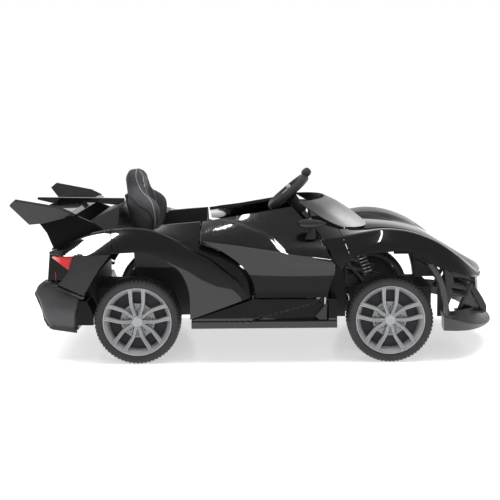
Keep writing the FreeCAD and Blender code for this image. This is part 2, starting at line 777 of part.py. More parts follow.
def make_doors():
    sections = []
    for rear_end, front_end, outs in DOOR_RUNGS:
        start, end = placed([rear_end], REAR)[0], placed([front_end], FRONT)[0]
        outer = [station(start, end, along, blend(outs, along)) for along in DOOR_STEPS]
        inner = [point + FreeCAD.Vector(0, S.door_thick.value, 0) for point in reversed(outer)]
        sections.append(outer + inner)
    shell = faceted_loft("door_shell", sections)
    hinge_x, hinge_y = ahead(-S.hinge_back), -S.hinge_out
    barrel = DOC.addObject("Part::Cylinder", "door_barrel")
    drill = DOC.addObject("Part::Cylinder", "door_drill")
    bind(barrel, Radius=S.barrel_radius, Height=S.hinge_top - S.door_bottom, Placement__Base__x=hinge_x,
         Placement__Base__y=hinge_y, Placement__Base__z=S.door_bottom)
    bind(drill, Radius=S.hinge_radius + S.hinge_gap, Height=S.hinge_top - S.door_bottom + S.hinge_radius,
         Placement__Base__x=hinge_x, Placement__Base__y=hinge_y, Placement__Base__z=S.door_bottom)
    door = cut("door_bored", fused("door_whole", shell, barrel), drill)
    right_and_left(door, "door")
    pin = new_body("hinge_pin")
    post(pin, hinge_x, hinge_y, S.hinge_radius, S.hinge_bottom, S.hinge_top)
    pair(pin, "door_hinge_pins")

    mirror_x = ahead(-S.mirror_back)
    sections = []
    for along, swell in MIRROR_SWELL:
        x = mirror_x.value + along * S.mirror_half_length.value
        rim = []
        for step in range(MIRROR_SIDES):
            turn = 2 * math.pi * (step + 0.5) / MIRROR_SIDES
            out = S.mirror_out.value + swell * S.mirror_half_width.value * math.cos(turn)
            up = S.mirror_height.value + swell * S.mirror_half_height.value * math.sin(turn)
            rim.append(FreeCAD.Vector(x, -out, up))
        sections.append(rim)
    shell = faceted_loft("mirror_shell", sections)
    stalk = DOC.addObject("Part::Cylinder", "mirror_stalk")
    bind(stalk, Radius=S.stalk_radius, Height=S.mirror_height - S.stalk_foot, Placement__Base__x=mirror_x,
         Placement__Base__y=-S.mirror_out, Placement__Base__z=S.stalk_foot)
    right_and_left(cut("mirror_whole", fused("mirror_parts", shell, stalk), door), "mirror")


def make_skirts():
    back, front = behind(S.pan_rear + S.wheel_gap), ahead(-S.pan_front + 7)
    low, high = S.skirt_bottom, S.sill_height
    body = new_body("skirt")
    joint = behind(300)
    near, far = S.tub_half_width + S.fit_gap, S.skirt_out
    wall = S.skirt_wall
    shape = [(back, low), (front, low), (front, high), (joint, high), (back, low + 22)]
    slab(body, shape, near, far)
    inner = [(back + 2 * wall, low + wall), (front - wall, low + wall), (front - wall, high - wall),
             (joint, high - wall)]
    carve_side(body, inner, near, far - S.skirt_recess - wall)
    recess = [(ahead(-330), low + 22), (ahead(-178), low + 22), (ahead(-178), high - 8)]
    carve_side(body, recess, far - S.skirt_recess, far)
    bore(body, ahead(-S.hinge_back), -S.hinge_out, S.hinge_radius + S.hinge_gap / 2, S.hinge_bottom, high)
    right_and_left(body, "side_skirt")


# along from the rear axle, up at the panel, out and up at the outer edge
SHOULDER_ROWS = [(48, 357, 222, 356), (72, 359, 252, 350), (95, 361, 283, 335), (122, 363, 283, 321),
                 (146, 364.5, 283, 307), (165, 366, 283, 298)]
SHOULDER_STEPS = (0.0, 0.3, 0.65, 1.0)


def shoulder_section(along, height, edge_out, edge_height):
    """A section across the shoulder beside the seat: a plate that rolls down from the panel to the fender."""
    x = REAR.value + along
    root = S.panel_seam.value - S.fit_gap.value
    anchor = (S.quarter_in.value + root) / 2
    top = [FreeCAD.Vector(x, -anchor, height)]
    for step in SHOULDER_STEPS:
        fall = (height - edge_height) * step ** 0.8
        top.append(FreeCAD.Vector(x, -(root + (edge_out - root) * step), height - fall))
    return top + [point - FreeCAD.Vector(0, 0, S.panel_wall.value) for point in reversed(top)]


def make_tail():
    uprights = new_body("upright")
    seam = S.panel_seam - S.fit_gap
    tail_z = S.tail_top + S.fit_gap
    slab(uprights, [(behind(-228), tail_z), (behind(-140), tail_z), (behind(-84), 336), (behind(-92), 343),
                    (behind(-118), 364), (behind(-168), 386), (behind(-172), S.blade_bottom),
                    (behind(-266), S.blade_bottom), (behind(-270), 370), (behind(-248), 340),
                    (behind(-237), 312)], S.upright_in, seam)
    pair(uprights, "wing_uprights")

    quarter = new_body("quarter")
    sill, shelf = S.sill_height + S.fit_gap, S.box_height - S.floor_wall
    slab(quarter, [(behind(-57), 302), (behind(-16), 302), (behind(-12), shelf), (behind(132), shelf),
                   (behind(142), sill), (behind(162), sill), (behind(165), 366), (behind(48), 357),
                   (behind(36), 344), (behind(-57), 338)], S.quarter_in, seam)
    shoulder = faceted_loft("shoulder", [shoulder_section(*row) for row in SHOULDER_ROWS])
    pair(fused("quarter_whole", quarter, shoulder), "quarter_panels")

    deck = new_body("deck")
    ridge_x, ridge_z = behind(-60), 404
    span(deck, [(ridge_x, 304), (ridge_x, ridge_z), (behind(-127), 374), (behind(-235), 302),
                (behind(-242), tail_z), (behind(-150), tail_z), (behind(-140), 304)],
         S.upright_in - S.fit_gap)
    for side in (-1, 1):
        flat = sketch(deck, "YZ_Plane", ridge_x)
        edge = S.upright_in * side
        outline(flat, [(edge, 345), (edge, 420), (S.deck_crown_out * side, 420)])
        pocket(deck, flat, S.deck_length)
    hollow = S.panel_wall * 1.5
    carve(deck, [(ridge_x - hollow, 300), (ridge_x - hollow, 340), (behind(-140), 330), (behind(-140), 300)],
          S.upright_in - hollow)
    node(deck, "rear_deck")

    panel = new_body("tail")
    face_x = behind(-246)
    tail_front = behind(-S.beam_rear) - S.fit_gap
    span(panel, [(face_x, S.tail_bottom), (tail_front, S.tail_bottom), (tail_front, S.tail_top),
                 (behind(-238), S.tail_top)], S.tail_half_width)
    wall = S.panel_wall
    carve(panel, [(face_x + 2 * wall, S.tail_bottom), (tail_front - wall, S.tail_bottom),
                  (tail_front - wall, S.tail_top - wall), (behind(-238) + 2 * wall, S.tail_top - wall)],
          S.tail_half_width - wall)
    node(panel, "tail_panel")

    side = S.tail_half_width + S.fit_gap
    lamp = new_body("tail_lamp")
    slab(lamp, [(behind(-220), 288), (behind(-163), 290), (behind(-175), 252)], side, S.corner_in)
    pair(lamp, "tail_lights")
    corner = new_body("corner")
    slab(corner, [(behind(-160), 292), (behind(-63), 295), (behind(-94), 257), (behind(-138), 187),
                  (behind(-202), 216), (behind(-174), 251)],
         S.corner_in + S.fit_gap, S.corner_in + S.corner_thick)
    slab(corner, [(behind(-174), 251), (behind(-202), 216), (behind(-194), 213), (behind(-167), 247)], side,
         S.corner_in + S.corner_thick)
    pair(corner, "rear_corners")

    diffuser = new_body("diffuser")
    front_face = behind(-S.beam_rear) - S.fit_gap
    tail_low = S.tail_bottom - S.fit_gap
    span(diffuser, [(behind(-277), 184), (behind(-269), 199), (behind(-237), tail_low),
                    (behind(-220), tail_low), (front_face, 181), (front_face - 10, 104),
                    (front_face - 12, 84), (behind(-245), 94), (behind(-254), 112), (behind(-259), 138)],
         S.diffuser_half_width)
    flat = sketch(diffuser, "XZ_Plane", S.channel_width + S.fin_thick / 2)
    outline(flat, [(behind(-290), 80), (front_face - 40, 80), (front_face - 60, 135), (behind(-290), 172)])
    channel = pocket(diffuser, flat, S.channel_width)
    both_sides(diffuser, channel)
    flat = sketch(diffuser, "XZ_Plane", (S.channel_width + S.fin_thick) * 2)
    outline(flat, [(behind(-290), 80), (front_face - 40, 80), (front_face - 60, 130), (behind(-290), 160)])
    channel = pocket(diffuser, flat, S.channel_width)
    both_sides(diffuser, channel)
    node(diffuser, "rear_diffuser")


def make_wing():
    blade = new_body("blade")
    span(blade, [(behind(-272), S.blade_bottom + 7), (behind(-165), S.blade_bottom + S.fit_gap),
                 (behind(-158), S.blade_bottom + 5), (behind(-172), S.blade_top),
                 (behind(-270), S.blade_top)],
         S.blade_half_span)
    node(blade, "wing_blade")
    spine = new_body("spine")
    rest = S.blade_top + S.fit_gap
    span(spine, [(behind(-312), 419), (behind(-62), 414), (behind(-62), 404.2), (behind(-84), 394.5),
                 (behind(-150), rest), (behind(-272), rest), (behind(-312), 412)], S.spine_half_width)
    node(spine, "wing_spine")
    winglet = new_body("winglet")
    root = S.blade_half_span + S.fit_gap
    slab(winglet, [(behind(-328), 38), (behind(-311), 54), (behind(-200), 31), (behind(-167), 14),
                   (behind(-190), -2), (behind(-245), -16), (behind(-283), -20)], 0, S.winglet_thick)
    winglet.Placement.Rotation = FreeCAD.Rotation(FreeCAD.Vector(1, 0, 0), S.winglet_cant.value)
    bind(winglet, Placement__Base__y=-root, Placement__Base__z=S.blade_bottom + S.fit_gap)
    pair(winglet, "winglets")


def on_splitter(along, lift=0):
    """A point above the splitter's top, which runs level to its knee and then falls to the tip."""
    height = S.splitter_top + lift
    if size(along).value > S.splitter_knee.value:
        height = height - (along - S.splitter_knee) * S.splitter_fall
    return ahead(along), height


def make_nose():
    back = S.plate_front + S.fit_gap
    seat, plate = S.fit_gap, S.bumper_base
    knee, tip = S.splitter_knee, S.splitter_tip
    mouth = [(ahead(S.mouth_rear), -S.mouth_half_width), (ahead(knee), -S.mouth_half_width),
             (ahead(knee), S.mouth_half_width), (ahead(S.mouth_rear), S.mouth_half_width)]
    splitter = new_body("splitter")
    span(splitter, [(ahead(back), S.splitter_top - S.splitter_deep), on_splitter(back), on_splitter(knee),
                    on_splitter(tip - 32), (ahead(tip - 6), 98), (ahead(tip), 90), (ahead(tip - 13), 76),
                    (ahead(240), 74)], S.splitter_half_width)
    for side in (-1, 1):
        flat = sketch(splitter, "XY_Plane", S.splitter_top)
        edge = side * S.splitter_half_width
        outline(flat, [(ahead(228), edge), (ahead(tip - 32), edge * 0.72), (ahead(tip), edge * 0.3),
                       (ahead(tip + 9), edge * 0.3), (ahead(tip + 9), edge * 1.05),
                       (ahead(228), edge * 1.05)])
        pocket(splitter, flat, S.splitter_top)
    flat = sketch(splitter, "XY_Plane", S.splitter_top)
    outline(flat, mouth)
    pocket(splitter, flat, S.splitter_top)
    node(splitter, "front_splitter")

    bumper = new_body("bumper")
    wide = S.lip_out - 8
    side_out = wide - 40
    base = [on_splitter(back, seat), on_splitter(knee, seat), on_splitter(262, seat), on_splitter(262, plate),
            on_splitter(knee, plate), on_splitter(back, plate)]
    span(bumper, base, S.nose_half_width)
    span(bumper, [on_splitter(252, seat), on_splitter(264, seat), (ahead(268), 165), (ahead(260), 206),
                  (ahead(248), 206), (ahead(256), 165)], S.nose_half_width)
    slot = [(ahead(240), 134), (ahead(280), 134), (ahead(280), 154), (ahead(240), 154)]
    carve(bumper, slot, S.nose_half_width * 0.85)
    carve(bumper, [(x, z + 30) for x, z in slot], S.nose_half_width * 0.75)
    both_sides(bumper, slab(bumper, base, S.nose_half_width - 1, side_out))
    flat = sketch(bumper, "XY_Plane", S.splitter_top + plate)
    outline(flat, mouth)
    pocket(bumper, flat, plate)
    flange = [(ahead(96), 260), (ahead(115), 258), (ahead(138), 247), (ahead(153), 231), (ahead(159), 214),
              (ahead(157), 178), on_splitter(150, seat), on_splitter(138, seat), (ahead(136), 174),
              (ahead(128), 214), (ahead(115), 240)]
    foot = [on_splitter(145, seat), on_splitter(178, seat), on_splitter(178, plate), on_splitter(145, plate)]
    strut = [(ahead(206), 206), (ahead(216), 210), on_splitter(190, seat), on_splitter(176, seat)]
    blade = [(ahead(206), 209), (ahead(217), 210), (ahead(240), 186), (ahead(258), 150), (ahead(263), 132),
             (ahead(248), 132), (ahead(243), 150), (ahead(228), 180)]
    blade_foot = [on_splitter(236, seat), on_splitter(262, seat), (ahead(264), 138), (ahead(247), 138)]
    ledge = [(ahead(196), 212), (ahead(226), 207), (ahead(226), 200), (ahead(196), 205)]
    crossbar = [(ahead(214), 206), (ahead(258), 206), (ahead(258), 198), (ahead(214), 198)]
    fins = [[(ahead(x), z + 8), (ahead(reach), z), (ahead(x), z - 3)]
            for x, reach, z in ((148, 194, 227), (155, 190, 203), (154, 185, 182))]
    sides = [(flange, wide - 14, wide), (foot, wide - 60, wide), (strut, wide - 58, wide - 44),
             (blade, wide - 100, wide - 50), (blade_foot, wide - 100, wide - 70),
             (ledge, wide - 58, wide - 6), (crossbar, S.nose_half_width - 10, wide - 52)]
    sides += [(fin, wide - 12, wide - 2) for fin in fins]
    for points, near, far in sides:
        both_sides(bumper, slab(bumper, points, near, far))
    node(bumper, "front_bumper")


def cowl_section(rear_end, front_end, outs):
    """A rung round the windscreen cowl, thin in its own plane."""
    start, end = placed([rear_end, front_end], FRONT)
    wall = S.panel_wall.value
    right = [station(start, end, along, out) for along, out in zip(COWL_REACH, outs)]
    outer = right + [station(start, end, 1, 0)] + mirrored(reversed(right))
    slope = (end[1] - start[1]) / (end[0] - start[0])
    inner = []
    for point in reversed(outer):
        x = point.x - wall * 1.4
        inner.append(FreeCAD.Vector(x, point.y * (1 - wall / 190), start[1] + (x - start[0]) * slope))
    return outer + inner


def make_cowl():
    shell = faceted_loft("cowl_shell", [cowl_section(*row) for row in COWL_RUNGS])
    feet = stand_posts("cowl_post", ahead(-118), S.cowl_boss_out, S.dash_top + S.fit_gap, S.cowl_post_top)
    node(fused("cowl_whole", shell, *feet), "windscreen_cowl")


# Cockpit

def make_cockpit():
    dash = new_body("dash")
    face = ahead(-S.dash_face)
    front = ahead(-S.bulkhead_front) - 2
    foot = S.bulkhead_height + S.fit_gap
    span(dash, [(ahead(-163), foot), (front, foot), (front, S.dash_top), (face, S.dash_top), (face, 330)],
         S.dash_half_width)
    for side, tall, wide in ((1, S.power_radius, S.power_radius),
                             (-1, S.switch_tall / 2, S.switch_width / 2)):
        out = S.power_out if side > 0 else S.switch_out
        flat = sketch(dash, "YZ_Plane", face)
        if side > 0:
            ring(flat, -out, S.power_height, S.power_radius + S.button_gap)
        else:
            low, high = -out - wide - S.button_gap, -out + wide + S.button_gap
            outline(flat, block(low, high, S.power_height - tall - S.button_gap,
                                S.power_height + tall + S.button_gap))
        pocket(dash, flat, S.power_length + S.power_proud, forwards=True)
    hole = along_steering("dash_hole", S.shaft_radius + S.shaft_gap, S.steer_hub_depth, S.shaft_length)
    node(cut("dash_bored", dash, hole), "dashboard")

    power = new_body("power")
    flat = sketch(power, "YZ_Plane", face - S.power_proud)
    ring(flat, -S.power_out, S.power_height, S.power_radius)
    pad(power, flat, S.power_length)
    node(power, "power_button")
    rocker = new_body("rocker")
    pivot = face + S.switch_radius * 0.4
    half = S.switch_width / 2
    tall = S.switch_tall / 2 - 1.5
    slab(rocker, [(pivot - 9, S.power_height + tall), (pivot - 5, S.power_height),
                  (pivot - 9, S.power_height - tall), (pivot, S.power_height - tall + 1),
                  (pivot + 2.5, S.power_height), (pivot, S.power_height + tall - 1)],
         S.switch_out - half, S.switch_out + half)
    cross_bar(rocker, pivot, S.power_height, S.switch_radius * 0.4, S.switch_out - half, S.switch_out + half)
    node(rocker, "drive_switch")

    shaft = along_steering("shaft_rod", S.shaft_radius, S.steer_hub_depth, S.shaft_length)
    crank = new_body("crank")
    end = S.steer_hub_depth + S.shaft_length
    half = S.crank_width / 2
    rise(crank, [(0, -half), (S.crank_length + half, -half), (S.crank_length + half, half), (0, half)],
         end - S.crank_width * 0.7, end)
    post(crank, S.crank_length, 0, S.peg_radius, end - S.fit_gap, end + S.peg_length)
    place_on_steering(crank, 0)
    node(fused("shaft_whole", shaft, crank), "steering_shaft")

    wheel = new_body("steer")
    tube, small = S.rim_tube, S.rim_tube * 0.41
    spin(wheel, [(S.wheel_radius + a, b) for a, b in (
        (tube, -small), (tube, small), (small, tube), (-small, tube), (-tube, small), (-tube, -small),
        (-small, -tube), (small, -tube))], "V_Axis")
    rim_face = -S.steer_hub_depth * 0.2
    post(wheel, 0, 0, S.steer_hub_radius, rim_face, S.steer_hub_depth - S.fit_gap)
    thin, wide = S.steer_spoke_thick / 2, S.steer_spoke_width / 2
    reach = S.wheel_radius
    rise(wheel, block(-wide, wide, -reach, reach), -thin, thin)
    rise(wheel, block(0, reach, -wide, wide), -thin, thin)
    rise(wheel, block(-reach - 1.6 * tube, -reach + tube / 2, -1.1 * wide * 2, 1.1 * wide * 2), -tube, tube)
    bore(wheel, 0, 0, S.horn_radius + S.horn_gap, -S.horn_height, S.horn_height * 0.4)
    place_on_steering(wheel, 0)
    node(wheel, "steering_wheel")
    horn = along_steering("horn", S.horn_radius, -S.steer_hub_depth * 0.2 - S.horn_height * 0.4,
                          S.horn_height)
    node(horn, "horn_button")

    pivot_x, pivot_z = ahead(-S.pedal_back), S.pedal_height
    lean = math.radians(S.pedal_angle.value)
    reach = S.pedal_length
    top_x, top_z = pivot_x + reach * math.cos(lean), pivot_z + reach * math.sin(lean)
    thick_x, thick_z = S.pedal_thick * math.sin(lean), S.pedal_thick * math.cos(lean)
    half = S.pedal_width / 2
    pedal = new_body("pedal")
    slab(pedal, [(pivot_x, pivot_z), (top_x, top_z), (top_x - thick_x, top_z + thick_z),
                 (pivot_x - thick_x, pivot_z + thick_z)], S.pedal_out - half, S.pedal_out + half)
    cross_bar(pedal, pivot_x, pivot_z, S.pedal_barrel, S.pedal_out - half, S.pedal_out + half)
    cross_bore(pedal, pivot_x, pivot_z, S.pedal_pin + S.hinge_gap, S.pedal_out - half, S.pedal_out + half)
    node(pedal, "accelerator_pedal")
    base = new_body("pedal_foot")
    floor = S.floor_bottom + S.floor_wall
    ear = [(pivot_x - 2 * S.pedal_barrel, floor), (pivot_x + 2 * S.pedal_barrel, floor),
           (pivot_x + S.pedal_barrel, pivot_z + S.pedal_barrel),
           (pivot_x - S.pedal_barrel, pivot_z + S.pedal_barrel)]
    edge = half + S.fit_gap
    slab(base, ear, S.pedal_out - edge - S.ear_thick, S.pedal_out - edge)
    slab(base, ear, S.pedal_out + edge, S.pedal_out + edge + S.ear_thick)
    slab(base, block(pivot_x - 2 * S.pedal_barrel, pivot_x + 2 * S.pedal_barrel,
                     floor, floor + S.ear_thick / 2),
         S.pedal_out - edge - S.ear_thick, S.pedal_out + edge + S.ear_thick)
    cross_bar(base, pivot_x, pivot_z, S.pedal_pin, S.pedal_out - edge, S.pedal_out + edge)
    node(base, "pedal_base")


# Seat

# height above the seat box, then along from the rear axle: back, middle of the front, bolsters; half width
BACK_SECTIONS = [
    (13, -8, 6, 7, 100),
    (59, -14, 8, 8, 112),
    (78, -19, 12, 30, 122),
    (100, -26, 10, 42, 128),
    (150, -38, 2, 44, 122),
    (180, -44, -6, 28, 102),
    (205, -48, -8, 6, 74),
    (235, -52, -6, -2, 58),
    (250, -44, -16, -14, 40),
]
# along from the rear axle, half width, height of the crown
CUSHION_SECTIONS = [(10, 96, 24), (50, 113, 42), (130, 115, 45), (186, 110, 38), (204, 96, 20)]


def arc(a, b, c):
    return Part.Arc(FreeCAD.Vector(*a), FreeCAD.Vector(*b), FreeCAD.Vector(*c)).toShape()


def line(a, b):
    return Part.makeLine(FreeCAD.Vector(*a), FreeCAD.Vector(*b))


def backrest_section(height, back, middle, bolster, half):
    """A level section of the backrest: flat back, swelling sides, two bolsters and a hollow between."""
    z = S.box_height.value + height
    back, middle, bolster = (REAR.value + x for x in (back, middle, bolster))
    depth = bolster - back
    left = [(back, 0.86), (back + depth * 0.26, 0.97), (back + depth * 0.55, 1), (back + depth * 0.78, 0.96),
            (bolster - depth * 0.1, 0.86), (bolster - depth * 0.03, 0.76),
            ((middle + bolster) / 2 - depth * 0.02, 0.6), (middle, 0.42)]
    left = [FreeCAD.Vector(x, half * share, z) for x, share in left]
    return left + mirrored(reversed(left))


def cushion_wire(along, half, tall):
    """An upright section of the cushion: flat below, drawn-in sides and a crown."""
    x = REAR.value + along
    low = S.box_height.value + S.seat_base.value + 2 * S.seat_gap.value
    tuck, waist, brow = half * 0.96, low + tall * 0.4, low + tall * 0.72
    return Part.Wire([line((x, tuck, low), (x, -tuck, low)),
                      arc((x, -tuck, low), (x, -half, waist), (x, -tuck, brow)),
                      arc((x, -tuck, brow), (x, 0, low + tall), (x, tuck, brow)),
                      arc((x, tuck, brow), (x, half, waist), (x, tuck, low))])


def make_seat():
    shell = new_body("seat")
    low = S.box_height + S.fit_gap
    top = S.box_height + S.seat_base
    back = [(behind(x) - S.seat_gap, S.box_height + z) for z, x, _, _, _ in BACK_SECTIONS[1:6]]
    rear = [(x - 7, z) for x, z in reversed(back)]
    span(shell, block(behind(-20), behind(206), low, top), S.seat_half_width * 0.9)
    span(shell, [(behind(-20), low), (behind(-8) - S.seat_gap, low), (behind(-8) - S.seat_gap, top)] + back
         + rear, S.seat_half_width * 0.6)
    node(shell, "seat_shell")
    cushion = Part.makeLoft([cushion_wire(*row) for row in CUSHION_SECTIONS], True, True)
    node(solid_feature("cushion", cushion), "seat_cushion")
    node(faceted_loft("backrest", [backrest_section(*row) for row in BACK_SECTIONS]), "backrest_pad")


def check_and_write():
    """Stop if any object failed, then write each sub-part's solid."""
    DOC.recompute()
    for thing in DOC.Objects:
        if "Invalid" in thing.State or "Error" in thing.State:
            raise RuntimeError("failed: %s %s %s" % (thing.Name, thing.Label, thing.State))
    for thing in NODES:
        if thing.Shape.isNull() or not thing.Shape.isValid() or not thing.Shape.Solids:
            raise RuntimeError("bad shape: " + thing.Label)
    os.makedirs("parts", exist_ok=True)
    for thing in NODES:
        thing.Shape.exportStep("parts/%s.step" % thing.Label)
    print(len(NODES), "sub-parts written")


make_wheels()
make_tub()
make_running_gear()
make_fenders()
make_bonnet()
make_doors()
make_skirts()
make_tail()
make_wing()
make_nose()
make_cowl()
make_cockpit()
make_seat()
check_and_write()
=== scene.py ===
"""Looks of the electric ride-on car: moulded panels, wheels, seat, lamps, floor, light and camera.

Outlines are in millimetres in the car's frame (nose along +X, left side +Y, up +Z) and become metres when a
mesh is made. "Out" is a distance from the middle plane; right-hand pieces are made first and mirrored.
"""
import json
import logging
import math
from dataclasses import dataclass, field
from enum import Enum
from typing import Optional, Sequence, Union

import bmesh
import bpy
import numpy as np
from mathutils import Matrix, Vector

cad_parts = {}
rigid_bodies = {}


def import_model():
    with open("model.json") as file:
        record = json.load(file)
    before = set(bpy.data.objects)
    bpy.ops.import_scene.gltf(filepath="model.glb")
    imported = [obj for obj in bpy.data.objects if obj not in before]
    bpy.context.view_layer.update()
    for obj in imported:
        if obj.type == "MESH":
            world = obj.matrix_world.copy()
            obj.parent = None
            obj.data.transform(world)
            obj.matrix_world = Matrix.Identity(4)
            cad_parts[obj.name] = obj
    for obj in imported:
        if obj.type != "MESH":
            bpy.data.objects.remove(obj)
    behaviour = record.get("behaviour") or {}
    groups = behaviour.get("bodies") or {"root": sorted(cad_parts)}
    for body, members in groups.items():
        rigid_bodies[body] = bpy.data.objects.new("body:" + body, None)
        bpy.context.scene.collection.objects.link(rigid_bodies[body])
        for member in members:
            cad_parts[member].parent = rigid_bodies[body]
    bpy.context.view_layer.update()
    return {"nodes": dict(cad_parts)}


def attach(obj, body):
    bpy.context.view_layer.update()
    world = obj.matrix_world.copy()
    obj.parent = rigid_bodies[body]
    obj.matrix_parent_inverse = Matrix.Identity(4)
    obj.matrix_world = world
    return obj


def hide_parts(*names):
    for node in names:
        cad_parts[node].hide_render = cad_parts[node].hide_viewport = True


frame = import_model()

LOG = logging.getLogger("ride_on_car")
MM = 0.001
REAR_AXLE = -328.0
FRONT_AXLE = 338.0
HUB_HEIGHT = 113.0
HALF_TRACK = 260.0
CHASSIS = "chassis"

Number = Union[float, int]
Outline = Sequence[tuple[float, float]]
Line = list[tuple[float, float]]
Faces = list[tuple[int, ...]]
Piece = bpy.types.Object


class Side(Enum):
    """A side of the car, with the sign of its Y."""

    RIGHT = -1
    LEFT = 1

    @property
    def word(self) -> str:
        """The side's name in piece and node names."""
        return self.name.lower()

    def of(self, points: np.ndarray) -> np.ndarray:
        """Points given for the right side, brought to this side."""
        return points if self is Side.RIGHT else mirrored(points)


class End(Enum):
    """An axle of the car, with its place along X in millimetres."""

    REAR = REAR_AXLE
    FRONT = FRONT_AXLE

    @property
    def word(self) -> str:
        """The axle's name in piece and node names."""
        return self.name.lower()


# Shader nodes


class Value:
    """A shader socket that takes part in Python sums."""

    def __init__(self, book: "NodeBook", socket: bpy.types.NodeSocket) -> None:
        """Wrap a socket of a node book's tree."""
        self.book = book
        self.socket = socket

    def math(self, operation: str, first: "Operand", second: "Operand") -> "Value":
        """Add a Math node.

        Args:
            operation: the node's operation.
            first: its first value.
            second: its second value.
        Returns:
            The node's result.
        """
        node = self.book.add("ShaderNodeMath", {"operation": operation}, {0: first, 1: second})
        return Value(self.book, node.outputs[0])

    def __add__(self, other: "Operand") -> "Value":
        """This plus another."""
        return self.math("ADD", self, other)

    def __mul__(self, other: "Operand") -> "Value":
        """This times another."""
        return self.math("MULTIPLY", self, other)

    def __rsub__(self, other: "Operand") -> "Value":
        """Another less this."""
        return self.math("SUBTRACT", other, self)

    def __truediv__(self, other: "Operand") -> "Value":
        """This over another."""
        return self.math("DIVIDE", self, other)

    def most(self, other: "Operand") -> "Value":
        """The larger of this and another."""
        return self.math("MAXIMUM", self, other)


Operand = Union[Value, Number]


class NodeBook:
    """A node tree that is written one node at a time."""

    def __init__(self, tree: bpy.types.NodeTree) -> None:
        """Start with an empty tree."""
        self.tree = tree
        tree.nodes.clear()

    def add(self, kind: str, settings: Optional[dict] = None,
            sockets: Optional[dict] = None) -> bpy.types.Node:
        """Add a node.

        Args:
            kind: the node's type.
            settings: properties of the node, which are set first.
            sockets: values, or sockets to link from, by input name or number.
        Returns:
            The node.
        """
        node = self.tree.nodes.new(kind)
        for name, setting in (settings or {}).items():
            setattr(node, name, setting)
        for name, given in (sockets or {}).items():
            target = node.inputs[name]
            source = given.socket if isinstance(given, Value) else given
            if isinstance(source, bpy.types.NodeSocket):
                self.tree.links.new(source, target)
            else:
                target.default_value = source
        return node

    def value(self, node: bpy.types.Node, output: Union[int, str] = 0) -> Value:
        """A node's output as a value."""
        return Value(self, node.outputs[output])

    def coords(self) -> bpy.types.NodeSocket:
        """Object coordinates, in metres in the car's frame."""
        return self.add("ShaderNodeTexCoord").outputs["Object"]

    def noise(self, scale: float, detail: float) -> Value:
        """Soft noise over Object coordinates.

        Args:
            scale: lumps to the metre.
            detail: octaves.
        Returns:
            The noise, about 0.5.
        """
        node = self.add("ShaderNodeTexNoise", None,
                        {"Vector": self.coords(), "Scale": scale, "Detail": detail})
        return self.value(node, "Fac")

    def cells(self, scale: float) -> Value:
        """Distance to the nearest point of a cell pattern over Object coordinates."""
        node = self.add("ShaderNodeTexVoronoi", {"feature": "F1"},
                        {"Vector": self.coords(), "Scale": scale})
        return self.value(node, "Distance")

    def axis(self, letter: str) -> Value:
        """One Object coordinate."""
        node = self.add("ShaderNodeSeparateXYZ", None, {0: self.coords()})
        return self.value(node, letter)

    def fit(self, driver: Value, low: float, high: float, to_low: float, to_high: float) -> Value:
        """Bring a value from one range to another, held at the ends.

        Args:
            driver: the value.
            low: the first range's start.
            high: the first range's end.
            to_low: what the start becomes.
            to_high: what the end becomes.
        Returns:
            The value in the second range.
        """
        node = self.add("ShaderNodeMapRange", None, {"Value": driver, "From Min": low, "From Max": high,
                                                     "To Min": to_low, "To Max": to_high})
        return self.value(node)

    def mix(self, share: Operand, first: object, second: object) -> bpy.types.NodeSocket:
        """Mix two colours.

        Args:
            share: how much of the second.
            first: a colour or a socket.
            second: a colour or a socket.
        Returns:
            The mixed colour.
        """
        node = self.add("ShaderNodeMix", {"data_type": "RGBA"}, {"Factor": share, 6: first, 7: second})
        return node.outputs[2]

    def bump(self, height: Value, distance: float) -> bpy.types.NodeSocket:
        """A bump from a height."""
        node = self.add("ShaderNodeBump", None,
                        {"Height": height.socket, "Distance": distance, "Strength": 1.0})
        return node.outputs["Normal"]


def grey(level: float) -> tuple[float, float, float, float]:
    """A neutral colour."""
    return (level, level, level, 1.0)


@dataclass(frozen=True)
class Finish:
    """A surface finish: colours, gloss and fine relief."""

    name: str
    colour: tuple[float, float, float]
    rough: float = 0.4
    metal: float = 0.0
    coat: float = 0.0
    shade: float = 0.25
    grain: float = 0.0
    grain_scale: float = 900.0
    sheen: float = 0.5

    def material(self) -> bpy.types.Material:
        """The finish's material, made once."""
        label = self.name + "_finish"
        found = bpy.data.materials.get(label)
        if found:
            return found
        made = bpy.data.materials.new(label)
        made.use_nodes = True
        book = NodeBook(made.node_tree)
        shader = book.add("ShaderNodeBsdfPrincipled", None,
                          {"Metallic": self.metal, "Coat Weight": self.coat, "Coat Roughness": 0.03,
                           "Specular IOR Level": self.sheen})
        self.dress(book, shader)
        book.add("ShaderNodeOutputMaterial", None, {"Surface": shader.outputs[0]})
        return made

    def tints(self) -> tuple[tuple, tuple]:
        """The darker and the lighter colour of the finish."""
        dark = tuple(part * (1 - self.shade) for part in self.colour) + (1.0,)
        light = tuple(part * (1 + self.shade) for part in self.colour) + (1.0,)
        return dark, light

    def dress(self, book: NodeBook, shader: bpy.types.Node) -> None:
        """Link the finish's patterns to its shader.

        Args:
            book: the material's nodes.
            shader: its Principled shader.
        """
        cloud = book.noise(7.0, 4.0)
        dust = book.noise(60.0, 5.0)
        dark, light = self.tints()
        share = book.fit(cloud * 0.7 + dust * 0.3, 0.35, 0.65, 0.0, 1.0)
        colour = book.mix(share, dark, light)
        book.tree.links.new(colour, shader.inputs["Base Color"])
        rough = book.fit(dust, 0.3, 0.7, self.rough * 0.88, self.rough * 1.12)
        book.tree.links.new(rough.socket, shader.inputs["Roughness"])
        if self.grain:
            height = self.relief(book)
            book.tree.links.new(book.bump(height, self.grain * MM), shader.inputs["Normal"])

    def relief(self, book: NodeBook) -> Value:
        """The height of the fine relief."""
        return book.noise(self.grain_scale, 3.0)


